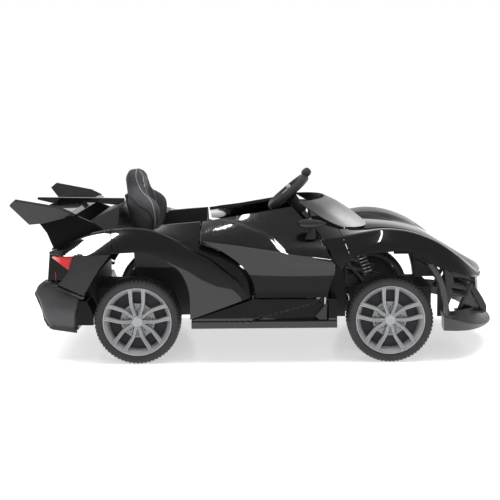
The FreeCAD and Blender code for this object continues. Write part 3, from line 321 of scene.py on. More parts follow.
@dataclass(frozen=True)
class LeatherFinish(Finish):
    """Soft leatherette with pebbled grain."""

    def relief(self, book: NodeBook) -> Value:
        """Pebbles of the grain, with finer lumps on them."""
        pebbles = book.cells(self.grain_scale)
        return (1 - pebbles) * 0.7 + book.noise(self.grain_scale * 0.5, 3.0) * 0.3


@dataclass(frozen=True)
class RubberFinish(Finish):
    """Tyre compound, paler where it has picked up dust."""

    def relief(self, book: NodeBook) -> Value:
        """Fine pitting."""
        return book.noise(self.grain_scale, 4.0) * 0.6 + book.cells(self.grain_scale * 0.4) * 0.4


@dataclass(frozen=True)
class LensFinish(Finish):
    """A lamp's tinted lens, paler towards one end of the car, where a reflection is painted into its colour.
    """

    # pale is the tint of a reflection painted into the lens's colour, not a colour of the lens itself
    pale: tuple[float, float, float] = (0.9, 0.7, 0.7)
    full_at: float = -0.5
    pale_at: float = -0.55

    def dress(self, book: NodeBook, shader: bpy.types.Node) -> None:
        """Link the lens's colour, running from full to a painted pale reflection along the car.

        Args:
            book: the material's nodes.
            shader: its Principled shader.
        """
        # the lens runs from its own red to the pale tint along X; the pale end is a painted reflection
        along = book.fit(book.axis("X"), self.full_at, self.pale_at, 0.0, 1.0)
        ribs = book.add("ShaderNodeTexWave", {"wave_type": "BANDS", "bands_direction": "Z"},
                        {"Vector": book.coords(), "Scale": 120.0, "Distortion": 0.0})
        colour = book.mix(along, self.colour + (1.0,), self.pale + (1.0,))
        book.tree.links.new(colour, shader.inputs["Base Color"])
        book.tree.links.new(book.bump(book.value(ribs, "Fac"), 0.0003), shader.inputs["Normal"])
        shader.inputs["Roughness"].default_value = self.rough


GLOSS_BLACK = Finish("gloss_black", (0.004, 0.004, 0.0044), rough=0.2, coat=1.0, sheen=0.05, grain=0.01,
                     grain_scale=420.0)
SATIN_GREY = Finish("satin_grey", (0.014, 0.0144, 0.0155), rough=0.4, grain=0.05, grain_scale=1900.0)
PALE_SATIN = Finish("pale_satin", (0.05, 0.051, 0.054), rough=0.38, grain=0.05, grain_scale=1900.0)
SATIN_BLACK = Finish("satin_black", (0.012, 0.012, 0.013), rough=0.36, grain=0.05, grain_scale=1900.0)
CHASSIS_BLACK = Finish("chassis_black", (0.011, 0.011, 0.012), rough=0.55, grain=0.08, grain_scale=1300.0)
WHEEL_SILVER = Finish("wheel_silver", (0.36, 0.364, 0.372), rough=0.3, metal=0.25, coat=0.3, shade=0.08,
                      grain=0.01, grain_scale=2600.0)
DISC_SILVER = Finish("disc_silver", (0.3, 0.305, 0.31), rough=0.42, metal=0.2, shade=0.1, grain=0.01)
WHEEL_DARK = Finish("wheel_dark", (0.035, 0.035, 0.038), rough=0.5, grain=0.05, sheen=0.2)
TYRE_RUBBER = RubberFinish("tyre_rubber", (0.028, 0.028, 0.03), rough=0.68, shade=0.22, grain=0.1,
                           grain_scale=700.0)
LEATHERETTE = LeatherFinish("leatherette", (0.04, 0.04, 0.0425), rough=0.52, grain=0.14, grain_scale=620.0,
                            sheen=0.35)
PIPING_GREY = LeatherFinish("piping_grey", (0.2, 0.2, 0.21), rough=0.5, grain=0.06, grain_scale=900.0)
# Red tail lens; its pale rear end is a painted reflection in the base colour
TAIL_RED = LensFinish("tail_red", (0.8, 0.012, 0.01), rough=0.3, coat=0.4, pale=(0.95, 0.5, 0.46),
                      full_at=-0.522, pale_at=-0.553)
REFLECTOR_RED = Finish("reflector_red", (0.32, 0.02, 0.02), rough=0.3, coat=0.4, shade=0.1)
LAMP_SMOKE = Finish("lamp_smoke", (0.01, 0.01, 0.011), rough=0.26, coat=0.25, shade=0.1)
DEEP_BLACK = Finish("deep_black", (0.0035, 0.0035, 0.004), rough=0.24, sheen=0.16, grain=0.01)
GRIP_BLACK = LeatherFinish("grip_black", (0.024, 0.024, 0.026), rough=0.45, grain=0.08, grain_scale=900.0)
VISOR_BLACK = Finish("visor_black", (0.012, 0.012, 0.013), rough=0.44, sheen=1.0)
BARE_STEEL = Finish("bare_steel", (0.42, 0.43, 0.45), rough=0.32, metal=0.9, shade=0.12)
BUTTON_GREY = Finish("button_grey", (0.3, 0.3, 0.31), rough=0.35, shade=0.06, grain=0.02)


# Meshes


def spline(points: Sequence[Sequence[float]], count: int) -> np.ndarray:
    """A smooth line through points, with even steps of chord.

    Args:
        points: the points, of any dimension.
        count: how many points to give back.
    Returns:
        The line's points, one a row.
    """
    given = np.asarray(points, float)
    chord = np.linalg.norm(np.diff(given, axis=0), axis=1)
    knots = np.concatenate([[0.0], np.cumsum(np.maximum(chord, 1e-6))])
    return sample(knots, given, np.linspace(0, knots[-1], count))


def sample(knots: np.ndarray, given: np.ndarray, places: np.ndarray) -> np.ndarray:
    """Read a smooth line through points at given places.

    Args:
        knots: the place of each point.
        given: the points, one a row.
        places: where to read.
    Returns:
        One point a row.
    """
    step = np.diff(knots)
    slope = np.diff(given, axis=0) / step[:, None]
    tangent = np.empty_like(given)
    tangent[0], tangent[-1] = slope[0], slope[-1]
    before, after = step[:-1, None], step[1:, None]
    tangent[1:-1] = (slope[:-1] * after + slope[1:] * before) / (before + after)
    index = np.clip(np.searchsorted(knots, places, side="right") - 1, 0, len(step) - 1)
    width = step[index][:, None]
    t = ((places - knots[index])[:, None]) / width
    h00, h10 = 2 * t**3 - 3 * t**2 + 1, t**3 - 2 * t**2 + t
    h01, h11 = -2 * t**3 + 3 * t**2, t**3 - t**2
    return (h00 * given[index] + h10 * width * tangent[index] + h01 * given[index + 1]
            + h11 * width * tangent[index + 1])


def loft_grid(rows: np.ndarray, count: int, start: float = 0.0, end: Optional[float] = None) -> np.ndarray:
    """Run smooth lines through matching points of several sections.

    Args:
        rows: sections by points by three.
        count: sections to give back.
        start: where to begin, as a section's number.
        end: where to end, as a section's number; the last if left out.
    Returns:
        The finer grid.
    """
    middle = rows.mean(axis=1)
    chord = np.maximum(np.linalg.norm(np.diff(middle, axis=0), axis=1), 1e-6)
    knots = np.concatenate([[0.0], np.cumsum(chord)])
    last = len(rows) - 1 if end is None else end
    first_place, last_place = np.interp([start, last], np.arange(len(rows)), knots)
    flat = sample(knots, rows.reshape(len(rows), -1), np.linspace(first_place, last_place, count))
    return flat.reshape(count, rows.shape[1], 3)


def mirrored(points: np.ndarray) -> np.ndarray:
    """The points on the other side of the car."""
    return points * np.array([1.0, -1.0, 1.0])


def grid_normals(grid: np.ndarray) -> np.ndarray:
    """Unit normals of a grid of points.

    Args:
        grid: rows by columns by three.
    Returns:
        A normal for each point.
    """
    along = np.gradient(grid, axis=0)
    across = np.gradient(grid, axis=1)
    normal = np.cross(along, across)
    length = np.linalg.norm(normal, axis=2, keepdims=True)
    return normal / np.maximum(length, 1e-9)


def outward(vertices: np.ndarray, faces: Faces) -> Faces:
    """Turn a closed mesh's faces so that they point outwards.

    Args:
        vertices: one point a row.
        faces: corners by number.
    Returns:
        The faces, all turned round or all as they were.
    """
    volume = 0.0
    for face in faces:
        first = vertices[face[0]]
        for second, third in zip(face[1:-1], face[2:]):
            volume += float(np.dot(first, np.cross(vertices[second], vertices[third])))
    return [face[::-1] for face in faces] if volume < 0 else faces


def new_piece(name: str, vertices: np.ndarray, faces: Faces, finish: Finish,
              sharp: float = 32.0) -> Piece:
    """Make a piece from points in millimetres, its faces pointing outwards.

    Args:
        name: the piece's name.
        vertices: one point a row.
        faces: corners by number.
        finish: its finish.
        sharp: the angle in degrees past which an edge stays sharp.
    Returns:
        The piece, in metres.
    """
    points = np.asarray(vertices, float)
    mesh = bpy.data.meshes.new(name)
    mesh.from_pydata((points * MM).tolist(), [], outward(points, faces))
    mesh.validate()
    return show(name, mesh, finish, sharp)


def show(name: str, mesh: bpy.types.Mesh, finish: Finish, sharp: float = 32.0) -> Piece:
    """Put a mesh in the scene with its finish and smooth shading.

    Args:
        name: the piece's name.
        mesh: its mesh, in metres.
        finish: its finish.
        sharp: the angle in degrees past which an edge stays sharp.
    Returns:
        The piece.
    """
    mesh.materials.clear()
    mesh.materials.append(finish.material())
    mesh.shade_smooth()
    mesh.set_sharp_from_angle(angle=math.radians(sharp))
    piece = bpy.data.objects.new(name, mesh)
    bpy.context.scene.collection.objects.link(piece)
    return piece


def grid_faces(rows: int, columns: int, start: int = 0, closed: bool = False) -> Faces:
    """Faces of a grid of points.

    Args:
        rows: points along.
        columns: points across.
        start: the number of the first point.
        closed: whether the last column joins the first.
    Returns:
        The faces.
    """
    faces = []
    for row in range(rows - 1):
        for column in range(columns if closed else columns - 1):
            following = (column + 1) % columns
            a, b = start + row * columns, start + (row + 1) * columns
            faces.append((a + column, a + following, b + following, b + column))
    return faces


def panel(name: str, grid: np.ndarray, wall: float, finish: Finish, bevel: float = 1.2) -> Piece:
    """A moulded panel: a grid of points given a wall on its inner side.

    Args:
        name: the piece's name.
        grid: the outer face's points, in millimetres; the inner side is towards smaller normals.
        wall: the wall, in millimetres; its sign picks the inner side.
        finish: its finish.
        bevel: how far its edges are rounded, in millimetres.
    Returns:
        The piece.
    """
    rows, columns = grid.shape[:2]
    inner = grid - grid_normals(grid) * wall
    vertices = np.concatenate([grid.reshape(-1, 3), inner.reshape(-1, 3)])
    count = rows * columns
    faces = grid_faces(rows, columns)
    faces += [tuple(corner + count for corner in face[::-1]) for face in grid_faces(rows, columns)]
    rim = [row * columns for row in range(rows)] + [(rows - 1) * columns + c for c in range(1, columns)]
    rim += [row * columns + columns - 1 for row in range(rows - 2, -1, -1)] + list(range(columns - 2, 0, -1))
    for a, b in zip(rim, rim[1:] + rim[:1]):
        faces.append((a, b, b + count, a + count))
    piece = new_piece(name, vertices, faces, finish)
    if bevel:
        ease(piece, bevel, 2, 40.0)
    return piece


def ease(piece: Piece, width: float, segments: int, angle: float = 30.0) -> None:
    """Round a piece's sharp edges.

    Args:
        piece: the piece.
        width: how far, in millimetres.
        segments: steps in the rounding.
        angle: edges sharper than this, in degrees, are rounded.
    """
    made = piece.modifiers.new("eased_edges", "BEVEL")
    made.width = width * MM
    made.segments = segments
    made.limit_method = "ANGLE"
    made.angle_limit = math.radians(angle)
    made.use_clamp_overlap = True
    made.harden_normals = True
    made.miter_outer = "MITER_ARC"


def ring_faces(rows: int, columns: int) -> Faces:
    """Faces of a grid that closes both ways.

    Args:
        rows: points one way.
        columns: points the other way.
    Returns:
        The faces.
    """
    faces = []
    for row in range(rows):
        for column in range(columns):
            a, b = row * columns, (row + 1) % rows * columns
            following = (column + 1) % columns
            faces.append((a + column, a + following, b + following, b + column))
    return faces


def turned(profile: Outline, count: int) -> tuple[np.ndarray, Faces]:
    """A ring turned about a wheel's axle.

    Args:
        profile: closed profile of radius and distance out from the wheel's middle.
        count: steps round.
    Returns:
        Points about the wheel's middle, on the right side, and faces.
    """
    angles = np.linspace(0, math.tau, count, endpoint=False)
    radius, out = np.array(profile, float).T
    across = np.tile(-out, (count, 1))
    points = np.stack([np.outer(np.cos(angles), radius), across, np.outer(np.sin(angles), radius)], axis=2)
    return points.reshape(-1, 3), ring_faces(count, len(profile))


def stacked(rings: Sequence[np.ndarray]) -> tuple[np.ndarray, Faces]:
    """A closed form through a stack of closed rings, capped at both ends.

    Args:
        rings: rings of equally many points.
    Returns:
        Points and faces.
    """
    grid = np.array(rings, float)
    rows, columns = grid.shape[:2]
    points = np.concatenate([grid.reshape(-1, 3), grid[:1].mean(axis=1), grid[-1:].mean(axis=1)])
    faces = grid_faces(rows, columns, closed=True)
    first, last = rows * columns, rows * columns + 1
    for column in range(columns):
        following = (column + 1) % columns
        faces.append((first, following, column))
        end = (rows - 1) * columns
        faces.append((last, end + column, end + following))
    return points, faces


def plate(name: str, outline: Outline, outs: tuple[float, float], side: Side, finish: Finish,
          bevel: float = 1.5) -> Piece:
    """A flat moulding drawn in the side view.

    Args:
        name: the piece's name, without its side.
        outline: its outline along and up.
        outs: how far out its inner and outer faces lie.
        side: its side of the car.
        finish: its finish.
        bevel: how far its edges are rounded, in millimetres.
    Returns:
        The piece.
    """
    count = len(outline)
    points = np.array([(x, side.value * out, z) for out in outs for x, z in outline], float)
    faces = [tuple(range(count)), tuple(range(2 * count - 1, count - 1, -1))]
    faces += [(k, k + count, (k + 1) % count + count, (k + 1) % count) for k in range(count)]
    piece = new_piece(f"{name}_{side.word}", points, faces, finish)
    ease(piece, bevel, 3)
    return piece


def closed_spline(points: Sequence[Sequence[float]], count: int) -> np.ndarray:
    """A smooth closed line through points.

    Args:
        points: the points, of any dimension.
        count: how many points to give back.
    Returns:
        The line's points, one a row.
    """
    given = np.asarray(points, float)
    wrapped = np.concatenate([given[-3:], given, given[:4]])
    chord = np.maximum(np.linalg.norm(np.diff(wrapped, axis=0), axis=1), 1e-6)
    knots = np.concatenate([[0.0], np.cumsum(chord)])
    return sample(knots, wrapped, np.linspace(knots[3], knots[3 + len(given)], count, endpoint=False))


def tube(path: np.ndarray, radius: float, sides: int = 8) -> tuple[np.ndarray, Faces]:
    """A round bar along a path.

    Args:
        path: the path's points.
        radius: the bar's radius.
        sides: faces round it.
    Returns:
        Points and faces.
    """
    ahead = np.gradient(path, axis=0)
    ahead /= np.linalg.norm(ahead, axis=1, keepdims=True)
    side = np.cross(ahead[0], (0.31, 0.42, 0.85))
    rings = []
    for place, forward in zip(path, ahead):
        side = side - forward * side.dot(forward)
        side /= np.linalg.norm(side)
        up = np.cross(forward, side)
        turns = [math.tau * step / sides for step in range(sides)]
        rings.append([place + radius * (math.cos(t) * side + math.sin(t) * up) for t in turns])
    return stacked(rings)


def squared_off(value: float) -> float:
    """Push a circle's coordinate towards a rounded square's."""
    return math.copysign(abs(value) ** 0.8, value)


def baked(piece: Piece) -> Piece:
    """Turn a piece's modifiers into plain mesh.

    Args:
        piece: the piece.
    Returns:
        The same piece.
    """
    graph = bpy.context.evaluated_depsgraph_get()
    mesh = bpy.data.meshes.new_from_object(piece.evaluated_get(graph))
    old = piece.data
    piece.modifiers.clear()
    piece.data = mesh
    bpy.data.meshes.remove(old)
    return piece


def joined(name: str, *pieces: Piece) -> Piece:
    """Join baked pieces of one finish into one.

    Args:
        name: the new piece's name.
        pieces: the pieces, which are used up.
    Returns:
        The joined piece.
    """
    work = bmesh.new()
    for piece in pieces:
        work.from_mesh(baked(piece).data)
    mesh = bpy.data.meshes.new(name)
    work.to_mesh(mesh)
    work.free()
    mesh.materials.append(pieces[0].data.materials[0])
    for piece in pieces:
        bpy.data.meshes.remove(piece.data)
    whole = bpy.data.objects.new(name, mesh)
    bpy.context.scene.collection.objects.link(whole)
    return whole


class RingOfCopies:
    """A Geometry Nodes tree that repeats a mesh round a wheel's axle."""

    NAME = "ring_of_copies"

    def tree(self) -> bpy.types.NodeTree:
        """The tree, made once."""
        found = bpy.data.node_groups.get(self.NAME)
        if found:
            return found
        tree = bpy.data.node_groups.new(self.NAME, "GeometryNodeTree")
        tree.interface.new_socket("Geometry", in_out="OUTPUT", socket_type="NodeSocketGeometry")
        for name, kind in (("Geometry", "Geometry"), ("Count", "Int"), ("Finish", "Material")):
            tree.interface.new_socket(name, in_out="INPUT", socket_type="NodeSocket" + kind)
        book = NodeBook(tree)
        given = book.add("NodeGroupInput")
        points = book.add("GeometryNodePoints", None, {"Count": given.outputs["Count"]})
        step = book.value(book.add("GeometryNodeInputIndex")) / book.value(given, "Count")
        turn = book.add("FunctionNodeAxisAngleToRotation", None,
                        {"Axis": (0, 1, 0), "Angle": step * math.tau})
        copies = book.add("GeometryNodeInstanceOnPoints", None,
                          {"Points": points.outputs[0], "Instance": given.outputs["Geometry"],
                           "Rotation": turn.outputs[0]})
        real = book.add("GeometryNodeRealizeInstances", None, {"Geometry": copies.outputs[0]})
        dressed = book.add("GeometryNodeSetMaterial", None,
                           {"Geometry": real.outputs[0], "Material": given.outputs["Finish"]})
        book.add("NodeGroupOutput", None, {"Geometry": dressed.outputs[0]})
        return tree

    def repeat(self, piece: Piece, count: int, finish: Finish) -> Piece:
        """Repeat a piece's mesh round the Y axis.

        Args:
            piece: the piece, which becomes the whole ring.
            count: how many copies.
            finish: their finish.
        Returns:
            The piece.
        """
        tree = self.tree()
        sockets = {item.name: item.identifier for item in tree.interface.items_tree if item.in_out == "INPUT"}
        ring = piece.modifiers.new("ring", "NODES")
        ring.node_group = tree
        ring[sockets["Count"]] = count
        ring[sockets["Finish"]] = finish.material()
        return baked(piece)


def ride(piece: Piece, body: str, slot: str, *nodes: str) -> Piece:
    """Put a piece on its body and say what it stands for.

    Args:
        piece: the piece.
        body: the CAD body that it moves with.
        slot: the record's material slot; not used.
        nodes: the CAD nodes that it replaces.
    Returns:
        The piece.
    """
    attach(piece, body)
    if nodes:
        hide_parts(*nodes)
    LOG.info("%s rides on %s for %s", piece.name, body, ", ".join(nodes) or "itself")
    return piece


def moulding(node: str, finish: Finish, slot: str, body: str = CHASSIS, bevel: float = 2.0,
             segments: int = 3) -> Piece:
    """A CAD node's own shape as a moulding with rounded edges.

    Args:
        node: the CAD node.
        finish: its finish.
        slot: the record's material slot.
        body: the CAD body that it moves with.
        bevel: how far its edges are rounded, in millimetres.
        segments: steps in the rounding.
    Returns:
        The piece that stands for the node.
    """
    work = bmesh.new()
    work.from_mesh(frame["nodes"][node].data)
    bmesh.ops.remove_doubles(work, verts=work.verts, dist=0.02 * MM)
    bmesh.ops.dissolve_limit(work, angle_limit=math.radians(1.0), verts=work.verts, edges=work.edges)
    mesh = bpy.data.meshes.new(node + "_moulding")
    work.to_mesh(mesh)
    work.free()
    piece = show(node + "_moulding", mesh, finish)
    ease(piece, bevel, segments)
    return ride(piece, body, slot, node)


def dress_node(node: str, finish: Finish) -> None:
    """Give a CAD node that stays in view its finish.

    Args:
        node: the CAD node.
        finish: its finish.
    """
    slots = frame["nodes"][node].material_slots
    if not slots:
        frame["nodes"][node].data.materials.append(finish.material())
    for slot in slots:
        slot.material = finish.material()
    LOG.info("%s keeps its CAD shape in %s", node, finish.name)


def from_rear(points: Outline) -> Line:
    """Side-view points given from the rear axle."""
    return [(REAR_AXLE + x, z) for x, z in points]


def from_front(points: Outline) -> Line:
    """Side-view points given from the front axle."""
    return [(FRONT_AXLE + x, z) for x, z in points]


def on_line(start: tuple[float, float], end: tuple[float, float], share: float, out: float) -> list[float]:
    """A point a share of the way along a side-view line, on the right side."""
    return [start[0] + (end[0] - start[0]) * share, -out, start[1] + (end[1] - start[1]) * share]


def through(values: tuple[float, float, float], share: float) -> float:
    """A smooth run through values at the start, the middle and the end."""
    first, middle, last = values
    return first + (4 * middle - 3 * first - last) * share + 2 * (first + last - 2 * middle) * share**2


# Body panels


@dataclass
class FenderPanel:
    """A fender: lip, bulged side, crest and the shelf in to the panel seam."""

    name: str
    lips: Line
    crests: Line
    outs: Line
    seams: Line
    seam_at: float
    flange: float = 15.0
    bulge: float = 5.0
    easing: float = 1.5
    shoulder: float = 4.0
    roll: float = 6.0
    turn_at: float = 0.955
    wall: float = 3.2
    samples: int = 84
    seam_gap: float = 0.02

    SIDE = (0.0, 0.02, 0.08, 0.2, 0.35, 0.5, 0.65, 0.78, 0.87)
    SHELF = (0.0, 0.04, 0.12, 0.3, 0.55, 0.8, 1.0)

    def section(self, lip: tuple[float, float], crest: tuple[float, float], outs: tuple[float, float],
                seam: tuple[float, float]) -> list[list[float]]:
        """One section's points, from the flange under the lip to the seam.

        Args:
            lip: the lip in the side view.
            crest: the crest in the side view.
            outs: how far out the lip and the crest lie.
            seam: how far out the seam lies and how far below the crest.
        Returns:
            The points.
        """
        lip_out, crest_out = outs
        length = math.hypot(crest[0] - lip[0], crest[1] - lip[1])
        flange = min(self.flange, max(2.0, 0.3 * (lip_out - seam[0])))
        points = [on_line(lip, crest, 0.0, lip_out - flange), on_line(lip, crest, 0.0, lip_out - self.easing)]
        middle = (lip_out + crest_out) / 2 + self.bulge
        top = crest_out + self.shoulder
        for share in self.SIDE:
            out = through((lip_out, middle, top), share / self.SIDE[-1])
            points.append(on_line(lip, crest, share, out))
        points.append(on_line(lip, crest, self.turn_at, crest_out + self.easing))
        start = crest_out - self.roll
        for share in self.SHELF:
            fall = seam[1] * (share**1.5 if seam[1] > 0 else share) / length
            points.append(on_line(lip, crest, 1.0 - fall, start + (seam[0] - start) * share))
        return points

    def grid(self, start: float = 0.0, end: Optional[float] = None) -> np.ndarray:
        """The right-hand fender's outer face between two of its sections.

        Args:
            start: where to begin, as a section's number.
            end: where to end, as a section's number; the last if left out.
        Returns:
            The face's points.
        """
        rows = [self.section(*station) for station in zip(self.lips, self.crests, self.outs, self.seams)]
        return loft_grid(np.array(rows), self.samples, start, end)

    def build(self) -> None:
        """Make each fender from two mouldings that meet at a seam."""
        parts = (self.grid(0.0, self.seam_at - self.seam_gap), self.grid(self.seam_at + self.seam_gap))
        for side in Side:
            node = f"{self.name}_{side.word}"
            for label, grid in zip(("rear", "fore"), parts):
                wall = self.wall * self.inward(grid) * -side.value
                piece = panel(f"{node}_{label}_panel", side.of(grid), wall, GLOSS_BLACK)
                ride(piece, CHASSIS, "black_gloss", *([node] if label == "fore" else []))

    @staticmethod
    def inward(grid: np.ndarray) -> float:
        """One if the grid's normals point out of the car on the right side, else minus one."""
        normal = grid_normals(grid)[len(grid) // 2, 6]
        return 1.0 if normal[1] < 0 else -1.0


REAR_FENDER = FenderPanel(
    "rear_fender",
    from_rear([(-226, 292), (-187, 293), (-127, 295), (-72, 297), (-22, 300), (28, 300), (62, 289), (92, 270),
               (117, 249), (133, 219), (140, 190), (141, 122)]),
    from_rear([(-232, 297), (-179, 321), (-131, 343), (-83, 355), (-22, 362), (43, 356), (98, 335),
               (146, 306), (197, 281), (234, 252), (267, 227), (303, 181)]),
    [(272, 262), (314, 270), (318, 274), (318, 282), (318, 294), (318, 296), (318, 300), (317, 306),
     (317, 311), (316, 313), (315, 313), (312, 311)],
    [(205.3, 4), (205.3, 6), (205.3, 7), (205.3, 8), (205.3, 8), (214.3, 8), (284, 4), (286, -24), (290, -32),
     (291, -36), (291, -27), (294, -7)], 3.3)
FRONT_FENDER = FenderPanel(
    "front_fender",
    from_front([(-131, 250), (-115, 272), (-98, 283), (-70, 291), (-20, 296), (45, 297), (83, 283),
                (112, 259), (158, 242), (207, 225), (243, 217)]),
    from_front([(-179, 330), (-148, 333), (-112, 338), (-70, 346), (-20, 353), (50, 346), (92, 332),
                (120, 319), (160, 293), (206, 255), (245, 222)]),
    [(316, 286), (318, 289), (320, 292), (320, 295), (320, 297), (320, 297), (319, 295), (316, 291),
     (306, 282), (281, 261), (230, 222)],
    [(202, -44), (207, -28), (208, -8), (205, 4), (205, 8), (205, 8), (205, 8), (205, 8), (205, 8), (204, 6),
     (200, 3)], 1.6)


@dataclass
class QuarterShoulder:
    """The sloping panel behind each door, from the fender's crest up to the cockpit rim."""

    stations: tuple = ((48, 355, 357), (72, 346, 359), (98, 334, 361), (122, 321, 363), (146, 307, 364.5),
                       (167, 297, 366))
    outer: float = 283.0
    inner: float = 205.5
    wall: float = 3.2

    def build(self) -> None:
        """Make both panels."""
        shares = np.linspace(0, 1, 14)
        rows = []
        for x, low, high in self.stations:
            rows.append([[REAR_AXLE + x, -(self.outer + (self.inner - self.outer) * t),
                          low + (high - low) * t**0.8] for t in shares])
        grid = loft_grid(np.array(rows), 30)
        sign = 1.0 if grid_normals(grid)[15, 7][2] > 0 else -1.0
        for side in Side:
            wall = self.wall * sign * -side.value
            piece = panel(f"quarter_shoulder_{side.word}", side.of(grid), wall, GLOSS_BLACK)
            ride(piece, CHASSIS, "black_gloss")


@dataclass
class BonnetPanel:
    """The bonnet: raised middle, two shallow valleys and the seams to the fenders."""

    middle: Line = field(default_factory=lambda: from_front(
        [(-108, 342), (-38, 340), (-4, 338), (32, 334), (82, 324), (122, 311), (167, 286), (222, 253),
         (274, 222)]))
    shares: tuple[float, ...] = (0.0, 0.1, 0.2, 0.3, 0.38, 0.46, 0.56, 0.66, 0.76, 0.86, 0.94, 1.0)
    falls: tuple[float, ...] = (0.0, 0.005, 0.02, 0.04, 0.08, 0.2, 0.5, 0.76, 0.9, 0.96, 0.99, 1.0)
    start: float = 232.5
    nose: tuple[tuple[float, float], ...] = ((600.0, 0.72), (611.0, 0.32))
    valley: float = 17.0
    valley_end: float = 560.0
    valley_run: float = 200.0
    gap: float = 0.6
    wall: float = 3.2
    leaf: tuple = ((298.0, 0.86, 0.02), (312.0, 0.84, 0.07), (340.0, 0.79, 0.11), (368.0, 0.73, 0.09),
                   (392.0, 0.68, 0.02))
    crown: float = 2.6
    proud: float = 0.3

    def build(self) -> None:
        """Make the bonnet and the leaf on each side of it."""
        seam = np.array([(x, -y, z) for x, y, z in FRONT_FENDER.grid()[:, -1]])
        middle = spline(self.middle, 60)
        rows = []
        for x in np.linspace(self.start, seam[-1, 0] - 0.5, 40):
            out = float(np.interp(x, seam[:, 0], seam[:, 1])) - self.gap
            edge = float(np.interp(x, seam[:, 0], seam[:, 2]))
            rows.append(self.section(x, out, edge, float(np.interp(x, middle[:, 0], middle[:, 1]))))
        for x, share in self.nose:
            top = float(np.interp(x, middle[:, 0], middle[:, 1]))
            rows.append(self.section(x, seam[-1, 1] * share, min(top, seam[-1, 2]), top))
        piece = panel("bonnet_panel", np.array(rows), self.wall, GLOSS_BLACK)
        ride(piece, CHASSIS, "black_gloss", "bonnet")
        self.leaves(np.array(rows)[:40, len(self.shares) - 1:])

    def leaves(self, right: np.ndarray) -> None:
        """Make the raised leaf-shaped louvres.

        Args:
            right: the bonnet's points from its middle to the right seam, section by section.
        """
        lines = []
        columns = right.swapaxes(0, 1)
        for x, middle, wide in spline(self.leaf, 30):
            across = [float(np.interp(x, column[:, 0], column[:, 1])) for column in columns]
            up = [float(np.interp(x, column[:, 0], column[:, 2])) for column in columns]
            line = []
            for part in np.linspace(-1, 1, 13):
                share = middle + wide * part
                lift = self.crown * (1 - part**2) + self.proud
                line.append([x, np.interp(share, self.shares, across),
                             np.interp(share, self.shares, up) + lift])
            lines.append(line)
        for side in Side:
            grid = side.of(np.array(lines))
            piece = panel(f"louvre_leaf_{side.word}", grid, self.wall * -side.value, SATIN_GREY, 0.6)
            ride(piece, CHASSIS, "dark_plastic")

    def section(self, x: float, out: float, edge: float, top: float) -> list[list[float]]:
        """One section across the bonnet, from the left seam to the right.

        Args:
            x: its place along the car.
            out: how far out the seam lies.
            edge: the seam's height.
            top: the middle's height.
        Returns:
            The points.
        """
        depth = self.valley * min(1.0, max(0.0, (self.valley_end - x) / self.valley_run))
        right = [[x, -out * share, top + (edge - top) * fall - depth * math.sin(math.pi * share**1.9) ** 2]
                 for share, fall in zip(self.shares, self.falls)]
        left = [[px, -py, pz] for px, py, pz in right[1:]]
        return left[::-1] + right


@dataclass
class HeadLamp:
    """A smoked lamp strip let into the top of each front fender."""

    along: tuple[float, float] = (472.0, 566.0)
    across: tuple[float, float] = (212.0, 238.0)
    lift: float = 1.2
    wall: float = 4.0

    def build(self) -> None:
        """Make both strips."""
        grid = FRONT_FENDER.grid()
        normal = grid_normals(grid)
        raised = grid + normal * np.where(normal[..., 2:] > 0, self.lift, -self.lift)
        places = np.where((grid[:, -1, 0] > self.along[0]) & (grid[:, -1, 0] < self.along[1]))[0]
        outs = -grid[places[len(places) // 2], :, 1]
        columns = np.where((outs > self.across[0]) & (outs < self.across[1]))[0]
        strip = raised[places[0]:places[-1] + 1, columns[0]:columns[-1] + 1]
        wall = self.wall * FenderPanel.inward(grid)
        for side in Side:
            piece = panel(f"lamp_strip_{side.word}", side.of(strip), wall * -side.value, LAMP_SMOKE, 0.8)
            ride(piece, CHASSIS, "clear_lens", *(["headlights"] if side is Side.RIGHT else []))


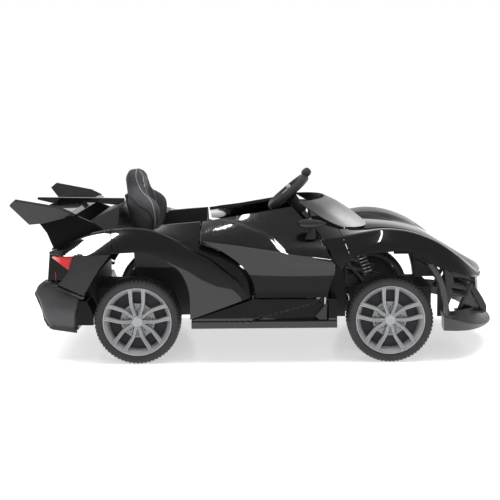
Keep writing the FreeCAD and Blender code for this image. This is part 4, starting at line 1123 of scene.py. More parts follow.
@dataclass
class DoorPanel:
    """A door: top face, crease, undercut band and the flared sill, cut by its seams."""

    lower: tuple = (((313, 178), (-166, 178), (307.5, 310, 311)), ((312, 190), (-164, 190), (305, 307, 309)),
                    ((308, 212), (-158, 212), (304, 306, 308.5)),
                    ((290, 248), (-147, 243), (304, 306.5, 309)),
                    ((233, 297), (-150, 265), (311, 316, 317)), ((173, 329), (-157, 279), (311, 318.5, 318)))
    upper: tuple = (((173, 329), (-157, 279), (311, 318.5, 318)), ((171, 352), (-192, 340), (262, 272, 274)),
                    ((171, 366), (-256, 405), (195, 187, 186)))
    style: tuple = ((-125, 372, 4.5), (-88, 370, 5.0), (-64, 366, 5.5), (-21, 352, 6.5), (16, 340, 7.5),
                    (39, 320, 8.0), (54, 303, 8.0))
    relief: float = 2.2
    steps: int = 130
    wall: float = 10.0
    sharp: float = 18.0

    def rows(self, rungs: tuple) -> np.ndarray:
        """Rows of points along the door.

        Args:
            rungs: rear end, front end and three distances out, for each rung.
        Returns:
            A row for each rung.
        """
        given = []
        for rear, front, outs in rungs:
            start, end = from_rear([rear])[0], from_front([front])[0]
            given.append([on_line(start, end, t, through(outs, t)) for t in np.linspace(0, 1, self.steps)])
        return np.array(given)

    def styled(self, grid: np.ndarray) -> np.ndarray:
        """Step the upper face softly along its style line.

        Args:
            grid: the upper face's points.
        Returns:
            The stepped points.
        """
        line = spline(self.style, 80)
        apart = grid[:, :, None, ::2] - line[None, None, :, :2]
        nearest = np.linalg.norm(apart, axis=3).argmin(axis=2)
        ahead = np.gradient(line[:, :2], axis=0)
        ahead /= np.linalg.norm(ahead, axis=1, keepdims=True)
        gap = np.take_along_axis(apart, nearest[:, :, None, None], axis=2)[:, :, 0]
        side = ahead[nearest][..., 0] * gap[..., 1] - ahead[nearest][..., 1] * gap[..., 0]
        rise = -np.tanh(1.6 * side / line[nearest, 2]) * self.relief * np.minimum(1.0, nearest / 24)
        normal = grid_normals(grid)
        normal *= np.where(normal[..., 1:2] < 0, 1.0, -1.0)
        return grid + normal * rise[..., None]

    def build(self) -> None:
        """Make both doors."""
        below = loft_grid(self.rows(self.lower), 34)
        above = np.array([through(tuple(self.rows(self.upper)), share) for share in np.linspace(0, 1, 70)])
        grid = np.concatenate([below[:-1], self.styled(above)])
        sign = FenderPanel.inward(grid)
        for side in Side:
            wall = self.wall * sign * -side.value
            piece = panel(f"door_{side.word}_panel", side.of(grid), wall, GLOSS_BLACK, 1.6)
            piece.data.set_sharp_from_angle(angle=math.radians(self.sharp))
            ride(piece, f"door_{side.word}", "black_gloss", f"door_{side.word}")


@dataclass
class ScreenCowl:
    """The wraparound windscreen cowl in front of the cockpit."""

    rungs: tuple = (((-236, 413), (-157, 418), (146, 130, 96, 50)),
                    ((-194, 386), (-117, 398), (184, 160, 114, 58)),
                    ((-152, 363), (-71, 367), (206, 176, 126, 62)),
                    ((-124, 352), (-38, 340), (214, 182, 128, 64)))
    reach: tuple = (0.0, 0.42, 0.76, 0.95)
    wall: float = 3.6

    def build(self) -> None:
        """Make the cowl."""
        rows = []
        for rear, front, outs in self.rungs:
            start, end = from_front([rear])[0], from_front([front])[0]
            right = [on_line(start, end, t, out) for t, out in zip(self.reach, outs)]
            left = [[x, -y, z] for x, y, z in right]
            rows.append(spline(right + [on_line(start, end, 1.0, 0.0)] + left[::-1], 56))
        grid = loft_grid(np.array(rows), 26)
        normal = grid_normals(grid)[13, 28]
        piece = panel("windscreen_cowl_panel", grid, self.wall if normal[0] > 0 else -self.wall, VISOR_BLACK)
        ride(piece, CHASSIS, "black_gloss", "windscreen_cowl")


@dataclass
class SideSkirt:
    """The skirt below each door: upright band, sill with a ridge, and a wedge-shaped intake."""

    ends: tuple[float, float] = (-184.0, 197.0)
    bottom: float = 97.0
    top: tuple = ((-184, 119), (-22, 172), (197, 172))
    profile: tuple = ((97, 310.5), (99, 312), (115, 312), (117, 309.6), (119, 309.6), (123, 311.6),
                      (126, 311.2), (172, 302.5))
    inner: float = 201.0
    intake: tuple[float, float] = (-40.0, 174.0)
    intake_floor: float = 117.5
    intake_roof: tuple[float, float] = (116.0, 171.0)
    edges: tuple[float, float, float] = (2.5, 3.0, 2.5)
    depth: float = 15.0
    fin: tuple = ((138, 127), (152, 115), (172, 115), (172, 168))
    fin_outs: tuple[float, float] = (296.0, 306.0)

    def out(self, x: float, z: float) -> float:
        """How far out the face lies at a place in the side view.

        Args:
            x: the place along the car.
            z: its height.
        Returns:
            The distance from the middle plane.
        """
        start, end = self.intake
        along = (x - start) / (end - start)
        low, high = self.intake_roof
        gaps = (z - self.intake_floor, low + (high - low) * along - z, end - x)
        inside = min(max(0.0, min(1.0, gap / edge)) for gap, edge in zip(gaps, self.edges))
        return float(np.interp(z, *zip(*self.profile))) - self.depth * max(0.0, along) ** 0.7 * inside

    def build(self) -> None:
        """Make both skirts and the fins in their intakes."""
        rings = []
        for x in np.linspace(*self.ends, 140):
            top = float(np.interp(x, *zip(*self.top)))
            face = [[x, -self.out(x, z), z] for z in np.linspace(self.bottom, top, 44)]
            rings.append(np.array(face + [[x, -self.inner, top], [x, -self.inner, self.bottom]]))
        points, faces = stacked(rings)
        for side in Side:
            piece = new_piece(f"skirt_{side.word}", side.of(points), faces, GLOSS_BLACK, 24.0)
            ride(piece, CHASSIS, "dark_plastic", f"side_skirt_{side.word}")
            fin = plate("intake_fin", self.fin, self.fin_outs, side, SATIN_GREY, 3.0)
            ride(fin, CHASSIS, "dark_plastic")


@dataclass
class NoseSplitter:
    """The splitter under the nose: a thin rim that rises to the bumper's base."""

    rim: tuple = ((139, 302, 124, 84), (170, 293, 112, 81), (205, 270, 98, 77), (240, 232, 87, 74),
                  (268, 186, 79, 71), (294, 126, 74, 68), (311, 62, 72, 66), (317.5, 0, 72, 66))
    ridge: tuple = ((139, 262, 127), (165, 256, 127.5), (198, 236, 127.5), (228, 204, 126), (250, 164, 121),
                    (264, 110, 116), (272, 54, 112.5), (274, 0, 112))
    shares: tuple[float, ...] = (0.06, 0.16, 0.32, 0.5, 0.7, 0.88, 1.0)

    def section(self, rim: np.ndarray, ridge: np.ndarray) -> list[list[float]]:
        """A closed section from the ridge's foot under the rim and back over the top.

        Args:
            rim: the rim's place along and out, and the heights of its upper and lower edge.
            ridge: the ridge's place along and out, and its height.
        Returns:
            The points.
        """
        x, out, high, low = rim
        inner_x, inner_out, inner_high = ridge
        levels = [(0.5, low + 2), (0.06, low), (0.0, low + 1.5), (0.0, (low + high) / 2), (0.0, high - 1.2)]
        levels += [(share, high + (inner_high - high) * share**1.3) for share in self.shares]
        points = [[inner_x, -inner_out, low + 6]]
        for share, height in levels:
            points.append([x + (inner_x - x) * share, -(out + (inner_out - out) * share), height])
        return points

    def build(self) -> None:
        """Make the splitter."""
        rim = spline([(FRONT_AXLE + row[0],) + row[1:] for row in self.rim], 60)
        ridge = spline([(FRONT_AXLE + row[0],) + row[1:] for row in self.ridge], 60)
        rings = [np.array(self.section(*pair)) for pair in zip(rim, ridge)]
        rings += [mirrored(ring) for ring in rings[-2::-1]]
        points, faces = stacked(rings)
        piece = new_piece("nose_splitter", points, faces, PALE_SATIN, 28.0)
        ride(piece, CHASSIS, "dark_plastic", "front_splitter")


@dataclass
class NoseFrame:
    """The open nose: arch flanges, fins, struts with dark lenses, lip and grille panel."""

    flange_rear: tuple = ((93, 263), (116, 228), (129, 194), (137, 159), (141, 125))
    flange_front: tuple = ((108, 264), (129, 231), (142, 196), (147, 159), (149, 125))
    flange_outs: tuple[float, float] = (284.0, 307.0)
    plates: tuple = (
        ("bumper_column", ((138, 250), (160, 238), (163, 214), (158, 196), (161, 176), (152, 150), (158, 119),
                           (142, 119), (146, 160), (142, 196)), (268, 294), SATIN_GREY),
        ("bumper_fin_top", ((150, 246), (206, 226), (206, 221), (158, 226)), (240, 290), SATIN_GREY),
        ("bumper_fin_middle", ((156, 214), (200, 194), (200, 190), (157, 196)), (244, 288), SATIN_GREY),
        ("bumper_fin_low", ((156, 188), (198, 175), (198, 171), (154, 172)), (246, 287), SATIN_GREY),
        ("bumper_foot", ((140, 131), (168, 124), (168, 117), (140, 117)), (240, 298), SATIN_GREY),
        ("nose_strut_outer", ((224, 196), (238, 185), (251, 168), (262, 150), (272, 130), (272, 111),
                              (257, 111), (252, 128), (243, 146), (232, 166)), (168, 196), SATIN_GREY),
        ("nose_strut_inner", ((188, 113), (197, 113), (208, 140), (219, 158), (231, 192), (224, 198),
                              (211, 164), (200, 144)), (196, 212), SATIN_GREY),
        ("nose_bar", ((188, 119), (262, 119), (262, 112), (188, 112)), (170, 212), SATIN_GREY),
        ("nose_lens", ((203, 120), (212, 142), (228, 176), (244, 142), (252, 120)), (178, 186), LAMP_SMOKE))
    lip: tuple = ((148, -276, 236), (193, -252, 229), (236, -204, 218), (259, -142, 211), (268, -70, 207),
                  (271, 0, 206))
    lip_radius: float = 5.5
    grille: tuple = ((240, -168), (255, -120), (263, -60), (266, 0), (263, 60), (255, 120), (240, 168))
    grille_levels: tuple = ((104, -4), (118, 0), (150, 3), (180, 3), (206, 0))
    grille_wall: float = 4.0
    slats: tuple[float, ...] = (132.0, 148.0, 164.0, 180.0, 196.0)
    slat_radius: float = 3.2
    slat_ahead: float = 6.0
    slat_share: float = 0.94

    def build(self) -> None:
        """Make the nose."""
        self.sides()
        half = spline(self.lip, 40) + (FRONT_AXLE, 0, 0)
        points, faces = tube(np.concatenate([half, mirrored(half)[-2::-1]]), self.lip_radius, 14)
        ride(new_piece("nose_lip", points, faces, SATIN_GREY), CHASSIS, "dark_plastic")
        front = spline(self.grille, 50)
        rows = [[[FRONT_AXLE + x + lean, y, z] for x, y in front] for z, lean in self.grille_levels]
        grid = loft_grid(np.array(rows), 20)
        ride(panel("nose_grille", grid, self.grille_wall, SATIN_BLACK), CHASSIS, "dark_plastic")
        for number, z in enumerate(self.slats):
            path = [[FRONT_AXLE + x + self.slat_ahead, y * self.slat_share, z] for x, y in front]
            points, faces = tube(np.array(path), self.slat_radius, 12)
            ride(new_piece(f"nose_slat_{number}", points, faces, GLOSS_BLACK), CHASSIS, "dark_plastic")

    def sides(self) -> None:
        """Make the arch flanges and the plates on both sides."""
        edge = np.concatenate([spline(self.flange_rear, 24), spline(self.flange_front, 24)[::-1]])
        for side in Side:
            flange = plate("arch_flange", from_front(edge), self.flange_outs, side, PALE_SATIN, 2.0)
            ride(flange, CHASSIS, "dark_plastic")
            for name, outline, outs, finish in self.plates:
                piece = plate(name, from_front(outline), outs, side, finish, 2.0)
                whole = (name, side) == ("bumper_column", Side.RIGHT)
                ride(piece, CHASSIS, "dark_plastic", *(["front_bumper"] if whole else []))


@dataclass
class DiffuserCheek:
    """The swollen side of the diffuser, rolled in behind and drawn to a lip below."""

    rows: tuple = ((-236, 88, -167, 77, 258), (-240, 92, -164, 81, 270), (-240, 97, -166, 88, 266),
                   (-247, 108, -168, 98, 265), (-252, 124, -166, 116, 270), (-257, 145, -163, 138, 273),
                   (-264, 168, -159, 156, 271), (-272, 187, -156, 172, 267), (-270, 200, -160, 184, 261),
                   (-264, 208, -176, 200, 250), (-256, 213, -190, 211, 238))
    corner: tuple = ((5, 3), (1, 9), (0, 20), (1, 45))
    wall: float = 3.0

    def line(self, rear: tuple[float, float], front: tuple[float, float], out: float) -> np.ndarray:
        """One level line, from the front end back and round the corner.

        Args:
            rear: its rear end in the side view, from the rear axle.
            front: its front end.
            out: how far out it lies.
        Returns:
            The line's points.
        """
        start, end = REAR_AXLE + front[0], REAR_AXLE + rear[0]
        points = [[start, -(out - 6), front[1]], [start - 4, -(out - 1), front[1]]]
        for share in np.linspace(0.1, 0.86, 8):
            points.append([start + (end - start) * share, -out, front[1] + (rear[1] - front[1]) * share])
        for ahead, inside in self.corner:
            points.append([end + ahead, -(out - inside), rear[1]])
        return spline(points, 40)

    def build(self) -> None:
        """Make both cheeks."""
        lines = [self.line(row[:2], row[2:4], row[4]) for row in self.rows]
        grid = loft_grid(np.array(lines), 60)
        sign = 1.0 if grid_normals(grid)[30, 12][1] < 0 else -1.0
        for side in Side:
            wall = self.wall * sign * -side.value
            piece = panel(f"diffuser_cheek_{side.word}", side.of(grid), wall, PALE_SATIN)
            ride(piece, CHASSIS, "dark_plastic")


@dataclass
class BodyTrim:
    """Small flat mouldings on both sides: reflectors, corner flanges, arch walls and liners."""

    rear: tuple = (
        ("tail_reflector", ((-224.5, 211), (-221, 211), (-220.5, 239), (-224, 239)), (226, 231),
         REFLECTOR_RED, "red_lens"),
        ("rear_arch_wall", ((-172, 98), (-120, 98), (-121, 113), (-120, 128), (-136, 165), (-172, 165)),
         (180, 262), DEEP_BLACK, "chassis_black"),
        ("corner_flange", ((-205, 214), (-142, 184), (-137, 187), (-135, 180), (-141, 176), (-207, 207)),
         (280, 304), GLOSS_BLACK, "black_gloss"))
    front: tuple = (
        ("arch_liner", ((70, 288), (70, 214), (124, 214), (136, 200), (136, 104), (158, 104), (156, 178),
                        (142, 228), (118, 262), (92, 282)), (204, 210), CHASSIS_BLACK, "chassis_black"),
        ("arch_rib", ((74, 256), (136, 226), (138, 230), (76, 261)), (210, 214),
         SATIN_BLACK, "dark_plastic"),
        ("upper_arm", ((-118, 262), (-34, 236), (-30, 243), (-114, 271)), (176, 186),
         SATIN_BLACK, "dark_plastic"),
        ("lower_arm", ((-112, 236), (-20, 214), (-17, 220), (-110, 243)), (178, 188),
         SATIN_BLACK, "dark_plastic"),
        ("arm_post", ((-112, 275), (-104, 275), (-104, 205), (-112, 205)), (172, 182),
         CHASSIS_BLACK, "chassis_black"))

    def build(self) -> None:
        """Make every trim on both sides."""
        for origin, trims in ((from_rear, self.rear), (from_front, self.front)):
            for name, outline, outs, finish, slot in trims:
                for side in Side:
                    ride(plate(name, origin(outline), outs, side, finish), CHASSIS, slot)


@dataclass
class SpringStrut:
    """A damper with its coil spring inside each front arch."""

    foot: tuple[float, float, float] = (-44.0, 190.0, 214.0)
    head: tuple[float, float, float] = (-78.0, 182.0, 288.0)
    coil: float = 11.0
    turns: float = 7.0
    wire: float = 2.2
    rod: float = 6.0

    def build(self) -> None:
        """Make both struts."""
        start, end = np.array(self.foot), np.array(self.head)
        axis = (end - start) / np.linalg.norm(end - start)
        across = np.cross(axis, (0.0, 1.0, 0.0))
        across /= np.linalg.norm(across)
        around = np.cross(axis, across)
        steps = np.linspace(0, 1, 180)
        angle = steps * self.turns * math.tau
        helix = start + np.outer(0.1 + 0.8 * steps, end - start) + self.coil * (
            np.outer(np.cos(angle), across) + np.outer(np.sin(angle), around))
        middle = start + np.outer(np.linspace(0, 1, 8), end - start)
        bars = (("strut_spring", helix, self.wire, BARE_STEEL, "steel"),
                ("strut_rod", middle, self.rod, SATIN_BLACK, "dark_plastic"))
        for side in Side:
            for name, path, radius, finish, slot in bars:
                points, faces = tube(path * (1, side.value, 1) + (FRONT_AXLE, 0, 0), radius, 10)
                ride(new_piece(f"{name}_{side.word}", points, faces, finish), CHASSIS, slot)


# Wheels


@dataclass
class RoadWheel:
    """A wheel: treaded tyre, stepped rim with five pairs of spokes, drilled disc and dark barrel."""

    end: End
    side: Side
    tyre: tuple = ((91.8, 34), (92.5, 36.4), (96, 38.4), (101, 39.6), (105, 39.2), (108, 37.4), (110.3, 34),
                   (111, 28), (111.2, 10), (111.2, -10), (111, -28), (110.3, -34), (108, -37.4), (105, -39.2),
                   (101, -39.6), (96, -38.4), (92.5, -36.4), (91.8, -34))
    rim: tuple = ((91.3, 29), (91.3, 35.6), (90.4, 37), (89.2, 37.3), (87.9, 36.4), (86.9, 34.2),
                  (84.0, 31.0), (80.6, 26.4), (77.8, 20), (76.4, 12), (76.0, 8), (83, 6), (87, 20))
    barrel: tuple = ((90.8, -37), (90.8, 28), (86, 19), (82.4, 9), (80, 5.5), (20, 5.5), (12, 8), (7, 8),
                     (7, -14), (13, -16), (14, -1), (78, -2), (84, -10), (85, -37))
    cap: tuple = ((14.5, 20), (14.5, 30.6), (13.4, 31.8), (9, 32.4), (6, 31.9), (0, 31.9), (0, 20))
    spoke_path: tuple = ((11.0, 5.0, 5.4, 29.6), (22.0, 8.4, 4.6, 29.4), (34.0, 13.0, 4.4, 29.2),
                         (46.0, 15.8, 4.5, 30.0), (60.0, 16.6, 4.8, 31.6), (74.0, 17.0, 5.2, 33.8),
                         (82.0, 17.3, 6.0, 35.4), (87.0, 17.4, 6.8, 36.0))
    spoke_section: tuple = ((-1.15, -9.0), (-1.0, -2.6), (-0.8, -0.4), (-0.44, 0.0), (-0.26, -2.6),
                            (0.26, -2.6), (0.44, 0.0), (0.8, -0.4), (1.0, -2.6), (1.15, -9.0))
    pairs: int = 5
    blocks: int = 66
    disc_radius: float = 46.5
    disc_hole: float = 17.0
    disc_out: tuple[float, float] = (11.0, 14.5)
    disc_wave: float = 1.1
    hole_rows: tuple = ((24.0, 0.0), (31.0, 0.5), (38.5, 0.0))
    holes: int = 15
    hole_size: float = 1.9
    hole_drift: float = 0.12

    @property
    def where(self) -> str:
        """The wheel's end and side, as its nodes name them."""
        return f"{self.end.word}_{self.side.word}"

    def placed(self, piece: Piece) -> Piece:
        """Bring a finished piece from the wheel's own middle to its place in the car."""
        middle = Vector((self.end.value, self.side.value * HALF_TRACK, HUB_HEIGHT)) * MM
        piece.data.transform(Matrix.Translation(middle))
        return piece

    def part(self, name: str, points: np.ndarray, faces: Faces, finish: Finish,
             sharp: float = 32.0) -> Piece:
        """A piece about the wheel's own middle, on its side of the car."""
        given = self.side.of(np.asarray(points, float))
        return new_piece(f"{name}_{self.where}", given, faces, finish, sharp)

    def build(self) -> None:
        """Make the wheel."""
        body = f"wheel_{self.where}"
        ride(self.placed(self.treaded_tyre()), body, "tyre_black", f"tyre_{self.where}")
        ride(self.placed(self.face()), body, "silver_wheel", f"wheel_cover_{self.where}")
        barrel = self.part("wheel_barrel", *turned(self.barrel, 72), WHEEL_DARK)
        ride(self.placed(barrel), body, "wheel_dark", f"wheel_core_{self.where}")
        ride(self.placed(self.disc()), body, "silver_wheel")

    def block(self, name: str, rows: tuple) -> Piece:
        """One row of tread blocks round the tyre.

        Args:
            name: the row's name.
            rows: base radius, top radius, distance out, first and last angle as shares of a pitch.
        Returns:
            The row of blocks.
        """
        pitch = math.tau / self.blocks
        low, high = [], []
        for base, top, out, first, last in rows:
            for share, inset in ((first, 0.06), (last, -0.06)):
                angle, drawn = share * pitch, (share + inset) * pitch
                low.append([base * math.cos(angle), -out, base * math.sin(angle)])
                high.append([top * math.cos(drawn), -out, top * math.sin(drawn)])
        points = np.array(low + high)
        count, faces = len(low), []
        for row in range(len(rows) - 1):
            a = row * 2
            faces += [(a, a + 1, a + 3, a + 2), tuple(count + k for k in (a, a + 2, a + 3, a + 1))]
            faces += [(a, a + 2, count + a + 2, count + a), (a + 1, count + a + 1, count + a + 3, a + 3)]
        faces += [(0, count, count + 1, 1), (count - 2, count - 1, 2 * count - 1, 2 * count - 2)]
        piece = self.part(name, points, faces, TYRE_RUBBER, 25.0)
        return RingOfCopies().repeat(piece, self.blocks, TYRE_RUBBER)

    def treaded_tyre(self) -> Piece:
        """The tyre's carcass with shoulder blocks and two rows of tread."""
        carcass = self.part("tyre_carcass", *turned(self.tyre, 132), TYRE_RUBBER, 40.0)
        rows = [carcass]
        for sign in (1, -1):
            shoulder = ((109.8, 113.0, 21 * sign, 0.0, 0.62), (110.0, 113.0, 30 * sign, 0.06, 0.7),
                        (106.6, 111.2, 36.6 * sign, 0.1, 0.74), (102.5, 106.4, 39.9 * sign, 0.12, 0.76))
            middle = ((110.0, 113.0, 2 * sign, 0.0, 0.66), (110.0, 113.0, 17 * sign, 0.34, 1.0))
            label = "outer" if sign > 0 else "inner"
            rows.append(self.block(f"tread_shoulder_{label}", shoulder))
            rows.append(self.block(f"tread_middle_{label}", middle))
        return joined(f"tyre_{self.where}_rubber", *rows)

    def face(self) -> Piece:
        """The silver rim with its spokes and cap."""
        rim = self.part("rim", *turned(self.rim, 120), WHEEL_SILVER)
        cap = self.part("hub_cap", *turned(self.cap, 48), WHEEL_SILVER)
        spokes = []
        path = sample(np.arange(len(self.spoke_path), dtype=float), np.array(self.spoke_path),
                      np.linspace(0, len(self.spoke_path) - 1, 30))
        for sign in (1, -1):
            section = self.spoke_section[::sign]
            rings = [[[sign * along + share * half, -(out + depth), radius] for share, depth in section]
                     for radius, along, half, out in path]
            spoke = self.part(f"spoke_{sign + 1}", *stacked(rings), WHEEL_SILVER, 20.0)
            spokes.append(RingOfCopies().repeat(spoke, self.pairs, WHEEL_SILVER))
        return joined(f"wheel_face_{self.where}", rim, cap, *spokes)

    def disc(self) -> Piece:
        """The drilled disc behind the spokes."""
        work = bmesh.new()
        loops = [self.ring_line(self.disc_radius, 120, self.disc_wave),
                 self.ring_line(self.disc_hole, 48, 0.0)]
        for row, (radius, shift) in enumerate(self.hole_rows):
            for step in range(self.holes):
                angle = math.tau * (step + shift + self.hole_drift * row) / self.holes
                loops.append(self.hole(radius, angle, self.hole_size))
        for loop in loops:
            corners = [work.verts.new((x * MM, 0.0, z * MM)) for x, z in loop]
            for first, second in zip(corners, corners[1:] + corners[:1]):
                work.edges.new((first, second))
        bmesh.ops.triangle_fill(work, use_beauty=True, edges=work.edges[:])
        grown = bmesh.ops.extrude_face_region(work, geom=work.faces[:])
        outer, inner = self.disc_out
        for vertex in work.verts:
            vertex.co.y = -outer * MM
        for vertex in (item for item in grown["geom"] if isinstance(item, bmesh.types.BMVert)):
            vertex.co.y = -inner * MM
        for vertex in work.verts:
            vertex.co.y *= -self.side.value
        bmesh.ops.recalc_face_normals(work, faces=work.faces[:])
        mesh = bpy.data.meshes.new("disc")
        work.to_mesh(mesh)
        work.free()
        return show(f"brake_disc_{self.where}", mesh, DISC_SILVER)

    @staticmethod
    def ring_line(radius: float, count: int, wave: float) -> Line:
        """A round outline, waved ten times round.

        Args:
            radius: its mean radius.
            count: points round it.
            wave: how far it waves in and out.
        Returns:
            The outline.
        """
        outline = []
        for step in range(count):
            turn = math.tau * step / count
            reach = radius + wave * math.cos(10 * turn)
            outline.append((reach * math.cos(turn), reach * math.sin(turn)))
        return outline

    @staticmethod
    def hole(radius: float, angle: float, size: float) -> Line:
        """The outline of a drilled hole.

        Args:
            radius: how far from the wheel's middle it lies.
            angle: where round the wheel it lies.
            size: its own radius.
        Returns:
            The outline.
        """
        x, z = radius * math.cos(angle), radius * math.sin(angle)
        turns = [math.tau * step / 10 for step in range(10)]
        return [(x + size * math.cos(t), z + size * math.sin(t)) for t in turns]


# Cockpit and mirrors


@dataclass
class DoorMirror:
    """A mirror pod on its stalk, on each door."""

    middle: tuple[float, float, float] = (133.0, 284.0, 368.0)
    half: tuple[float, float, float] = (37.0, 17.0, 11.5)
    shape: tuple = ((-1.0, 0.12, 0.2), (-0.94, 0.5, 0.55), (-0.8, 0.82, 0.84), (-0.55, 0.98, 0.98),
                    (-0.2, 1.0, 1.0), (0.2, 0.94, 0.92), (0.55, 0.76, 0.72), (0.8, 0.5, 0.46),
                    (0.94, 0.26, 0.26), (1.0, 0.08, 0.1))
    stalk: tuple = ((128.0, 286.0, 328.0, 14.0, 7.5), (131.0, 286.0, 342.0, 11.0, 6.0),
                    (135.0, 285.0, 356.0, 8.0, 5.0), (138.0, 284.0, 367.0, 8.5, 5.5))

    def build(self) -> None:
        """Make both mirrors."""
        for side in Side:
            pod = self.part("mirror_pod", self.pod(), side, SATIN_GREY)
            stalk = self.part("mirror_stalk", self.foot(), side, SATIN_BLACK)
            ride(pod, f"door_{side.word}", "dark_plastic", f"mirror_{side.word}")
            ride(stalk, f"door_{side.word}", "dark_plastic")

    def part(self, name: str, rings: list[np.ndarray], side: Side, finish: Finish) -> Piece:
        """A closed form through rings given for the right side."""
        points, faces = stacked(rings)
        return new_piece(f"{name}_{side.word}", side.of(points), faces, finish, 50.0)

    def pod(self) -> list[np.ndarray]:
        """Rings of the pod along the car."""
        rings = []
        turns = [math.tau * step / 28 for step in range(28)]
        x, out, z = self.middle
        long, deep, high = self.half
        for along, wide, tall in spline(self.shape, 26):
            rings.append(np.array([[x + along * long, -out + deep * wide * squared_off(math.cos(t)),
                                    z + high * tall * squared_off(math.sin(t))] for t in turns]))
        return rings

    def foot(self) -> list[np.ndarray]:
        """Rings of the stalk, from the door up."""
        rings = []
        turns = [math.tau * step / 20 for step in range(20)]
        for x, out, z, long, wide in spline(self.stalk, 12):
            rings.append(np.array([[x + long * squared_off(math.cos(t)),
                                    -out + wide * squared_off(math.sin(t)), z] for t in turns]))
        return rings


@dataclass
class SteeringWheel:
    """The steering wheel: flat-bottomed rim, boss, spokes, knobs and a grip block at the top."""

    middle: tuple[float, float, float] = (75.0, 0.0, 425.0)
    angle: float = 50.0
    rim: tuple = ((0, 66), (26, 62), (50, 46), (64, 20), (66, -8), (58, -34), (40, -50), (14, -55),
                  (-14, -55), (-40, -50), (-58, -34), (-66, -8), (-64, 20), (-50, 46), (-26, 62))
    thick: tuple[float, float] = (11.0, 12.0)
    boss: tuple = ((13.6, -1.0), (14.2, -4.6), (20, -6.2), (27, -4.6), (31, 0), (30, 8), (25, 16), (17, 22),
                   (15, 40), (19, 62), (17, 70), (6.5, 70), (6.5, 20), (13.6, 12))
    spokes: tuple = (("right", math.pi), ("left", 0.0), ("low", -math.pi / 2))
    spoke_sections: tuple = ((24, 11, 5.5, 5), (36, 8.5, 4.5, 5), (50, 8.5, 4.5, 3), (60, 11, 5, 1))
    knobs: tuple = (("right", -22.0), ("left", 22.0))
    knob: tuple = ((6.5, 0), (6.5, -11), (5.8, -13.5), (3.0, -14.6))
    knob_up: float = 14.0
    block: tuple[float, float, float] = (24.0, 14.0, 12.0)
    block_up: float = 79.0
    block_proud: float = 8.0

    def world(self, local: np.ndarray) -> np.ndarray:
        """Bring points into the car.

        Args:
            local: points given across, up the wheel's face and down the column.
        Returns:
            The points in the car's frame.
        """
        tilt = math.radians(self.angle)
        across = np.array([0.0, 1.0, 0.0])
        up = np.array([math.sin(tilt), 0.0, math.cos(tilt)])
        down = np.array([math.cos(tilt), 0.0, -math.sin(tilt)])
        return np.array(self.middle) + np.asarray(local, float) @ np.array([across, up, down])

    def piece(self, name: str, local: np.ndarray, faces: Faces, finish: Finish) -> Piece:
        """A piece from points in the wheel's own directions."""
        return new_piece(name, self.world(local), faces, finish, 40.0)

    def build(self) -> None:
        """Make the wheel."""
        path = closed_spline(self.rim, 120)
        ahead = np.roll(path, -1, axis=0) - np.roll(path, 1, axis=0)
        ahead /= np.linalg.norm(ahead, axis=1, keepdims=True)
        outer = np.stack([-ahead[:, 1], ahead[:, 0]], axis=1)
        turns = [math.tau * step / 20 for step in range(20)]
        wide, deep = self.thick
        rings = []
        for place, away in zip(path, outer):
            rings.append([[*(place + away * wide * math.cos(t)), deep * math.sin(t)] for t in turns])
        grip = self.piece("steering_rim", np.array(rings).reshape(-1, 3), ring_faces(120, 20), GRIP_BLACK)
        ride(grip, "steering", "grip_black", "steering_wheel")
        self.middle_parts()

    def middle_parts(self) -> None:
        """Make boss, spokes, knobs and grip block."""
        angles = np.linspace(0, math.tau, 48, endpoint=False)
        radius, depth = np.array(self.boss, float).T
        boss = np.stack([np.outer(np.cos(angles), radius), np.outer(np.sin(angles), radius),
                         np.tile(depth, (48, 1))], axis=2).reshape(-1, 3)
        piece = self.piece("steering_boss", boss, ring_faces(48, len(radius)), SATIN_BLACK)
        ride(piece, "steering", "grip_black")
        for name, turn in self.spokes:
            rings = [self.oval(turn, *section) for section in self.spoke_sections]
            ride(self.piece(f"steering_spoke_{name}", *stacked(rings), SATIN_GREY), "steering", "grip_black")
        for name, across in self.knobs:
            rings = [np.array([[across + size * math.cos(t), self.knob_up + size * math.sin(t), deep]
                               for t in angles]) for size, deep in self.knob]
            ride(self.piece(f"steering_knob_{name}", *stacked(rings), BUTTON_GREY), "steering", "button_grey")
        wide, tall, deep = self.block
        rings = []
        for along in np.linspace(-1, 1, 15):
            swell = (1 - abs(along) ** 4) ** 0.5 * 0.9 + 0.1
            rings.append(np.array([[wide * along, self.block_up + tall * swell * squared_off(math.cos(t)),
                                    deep * swell * squared_off(math.sin(t)) - self.block_proud]
                                   for t in angles]))
        ride(self.piece("steering_block", *stacked(rings), GRIP_BLACK), "steering", "grip_black")

    @staticmethod
    def oval(turn: float, reach: float, wide: float, tall: float, depth: float) -> np.ndarray:
        """An oval section of a spoke.

        Args:
            turn: the spoke's direction.
            reach: the section's distance from the boss.
            wide: half its width.
            tall: half its thickness.
            depth: how far down the column it lies.
        Returns:
            The section's points.
        """
        ring = []
        for step in range(20):
            t = math.tau * step / 20
            side = wide * squared_off(math.cos(t))
            ring.append([reach * math.cos(turn) - side * math.sin(turn),
                         reach * math.sin(turn) + side * math.cos(turn),
                         depth + tall * squared_off(math.sin(t))])
        return np.array(ring)


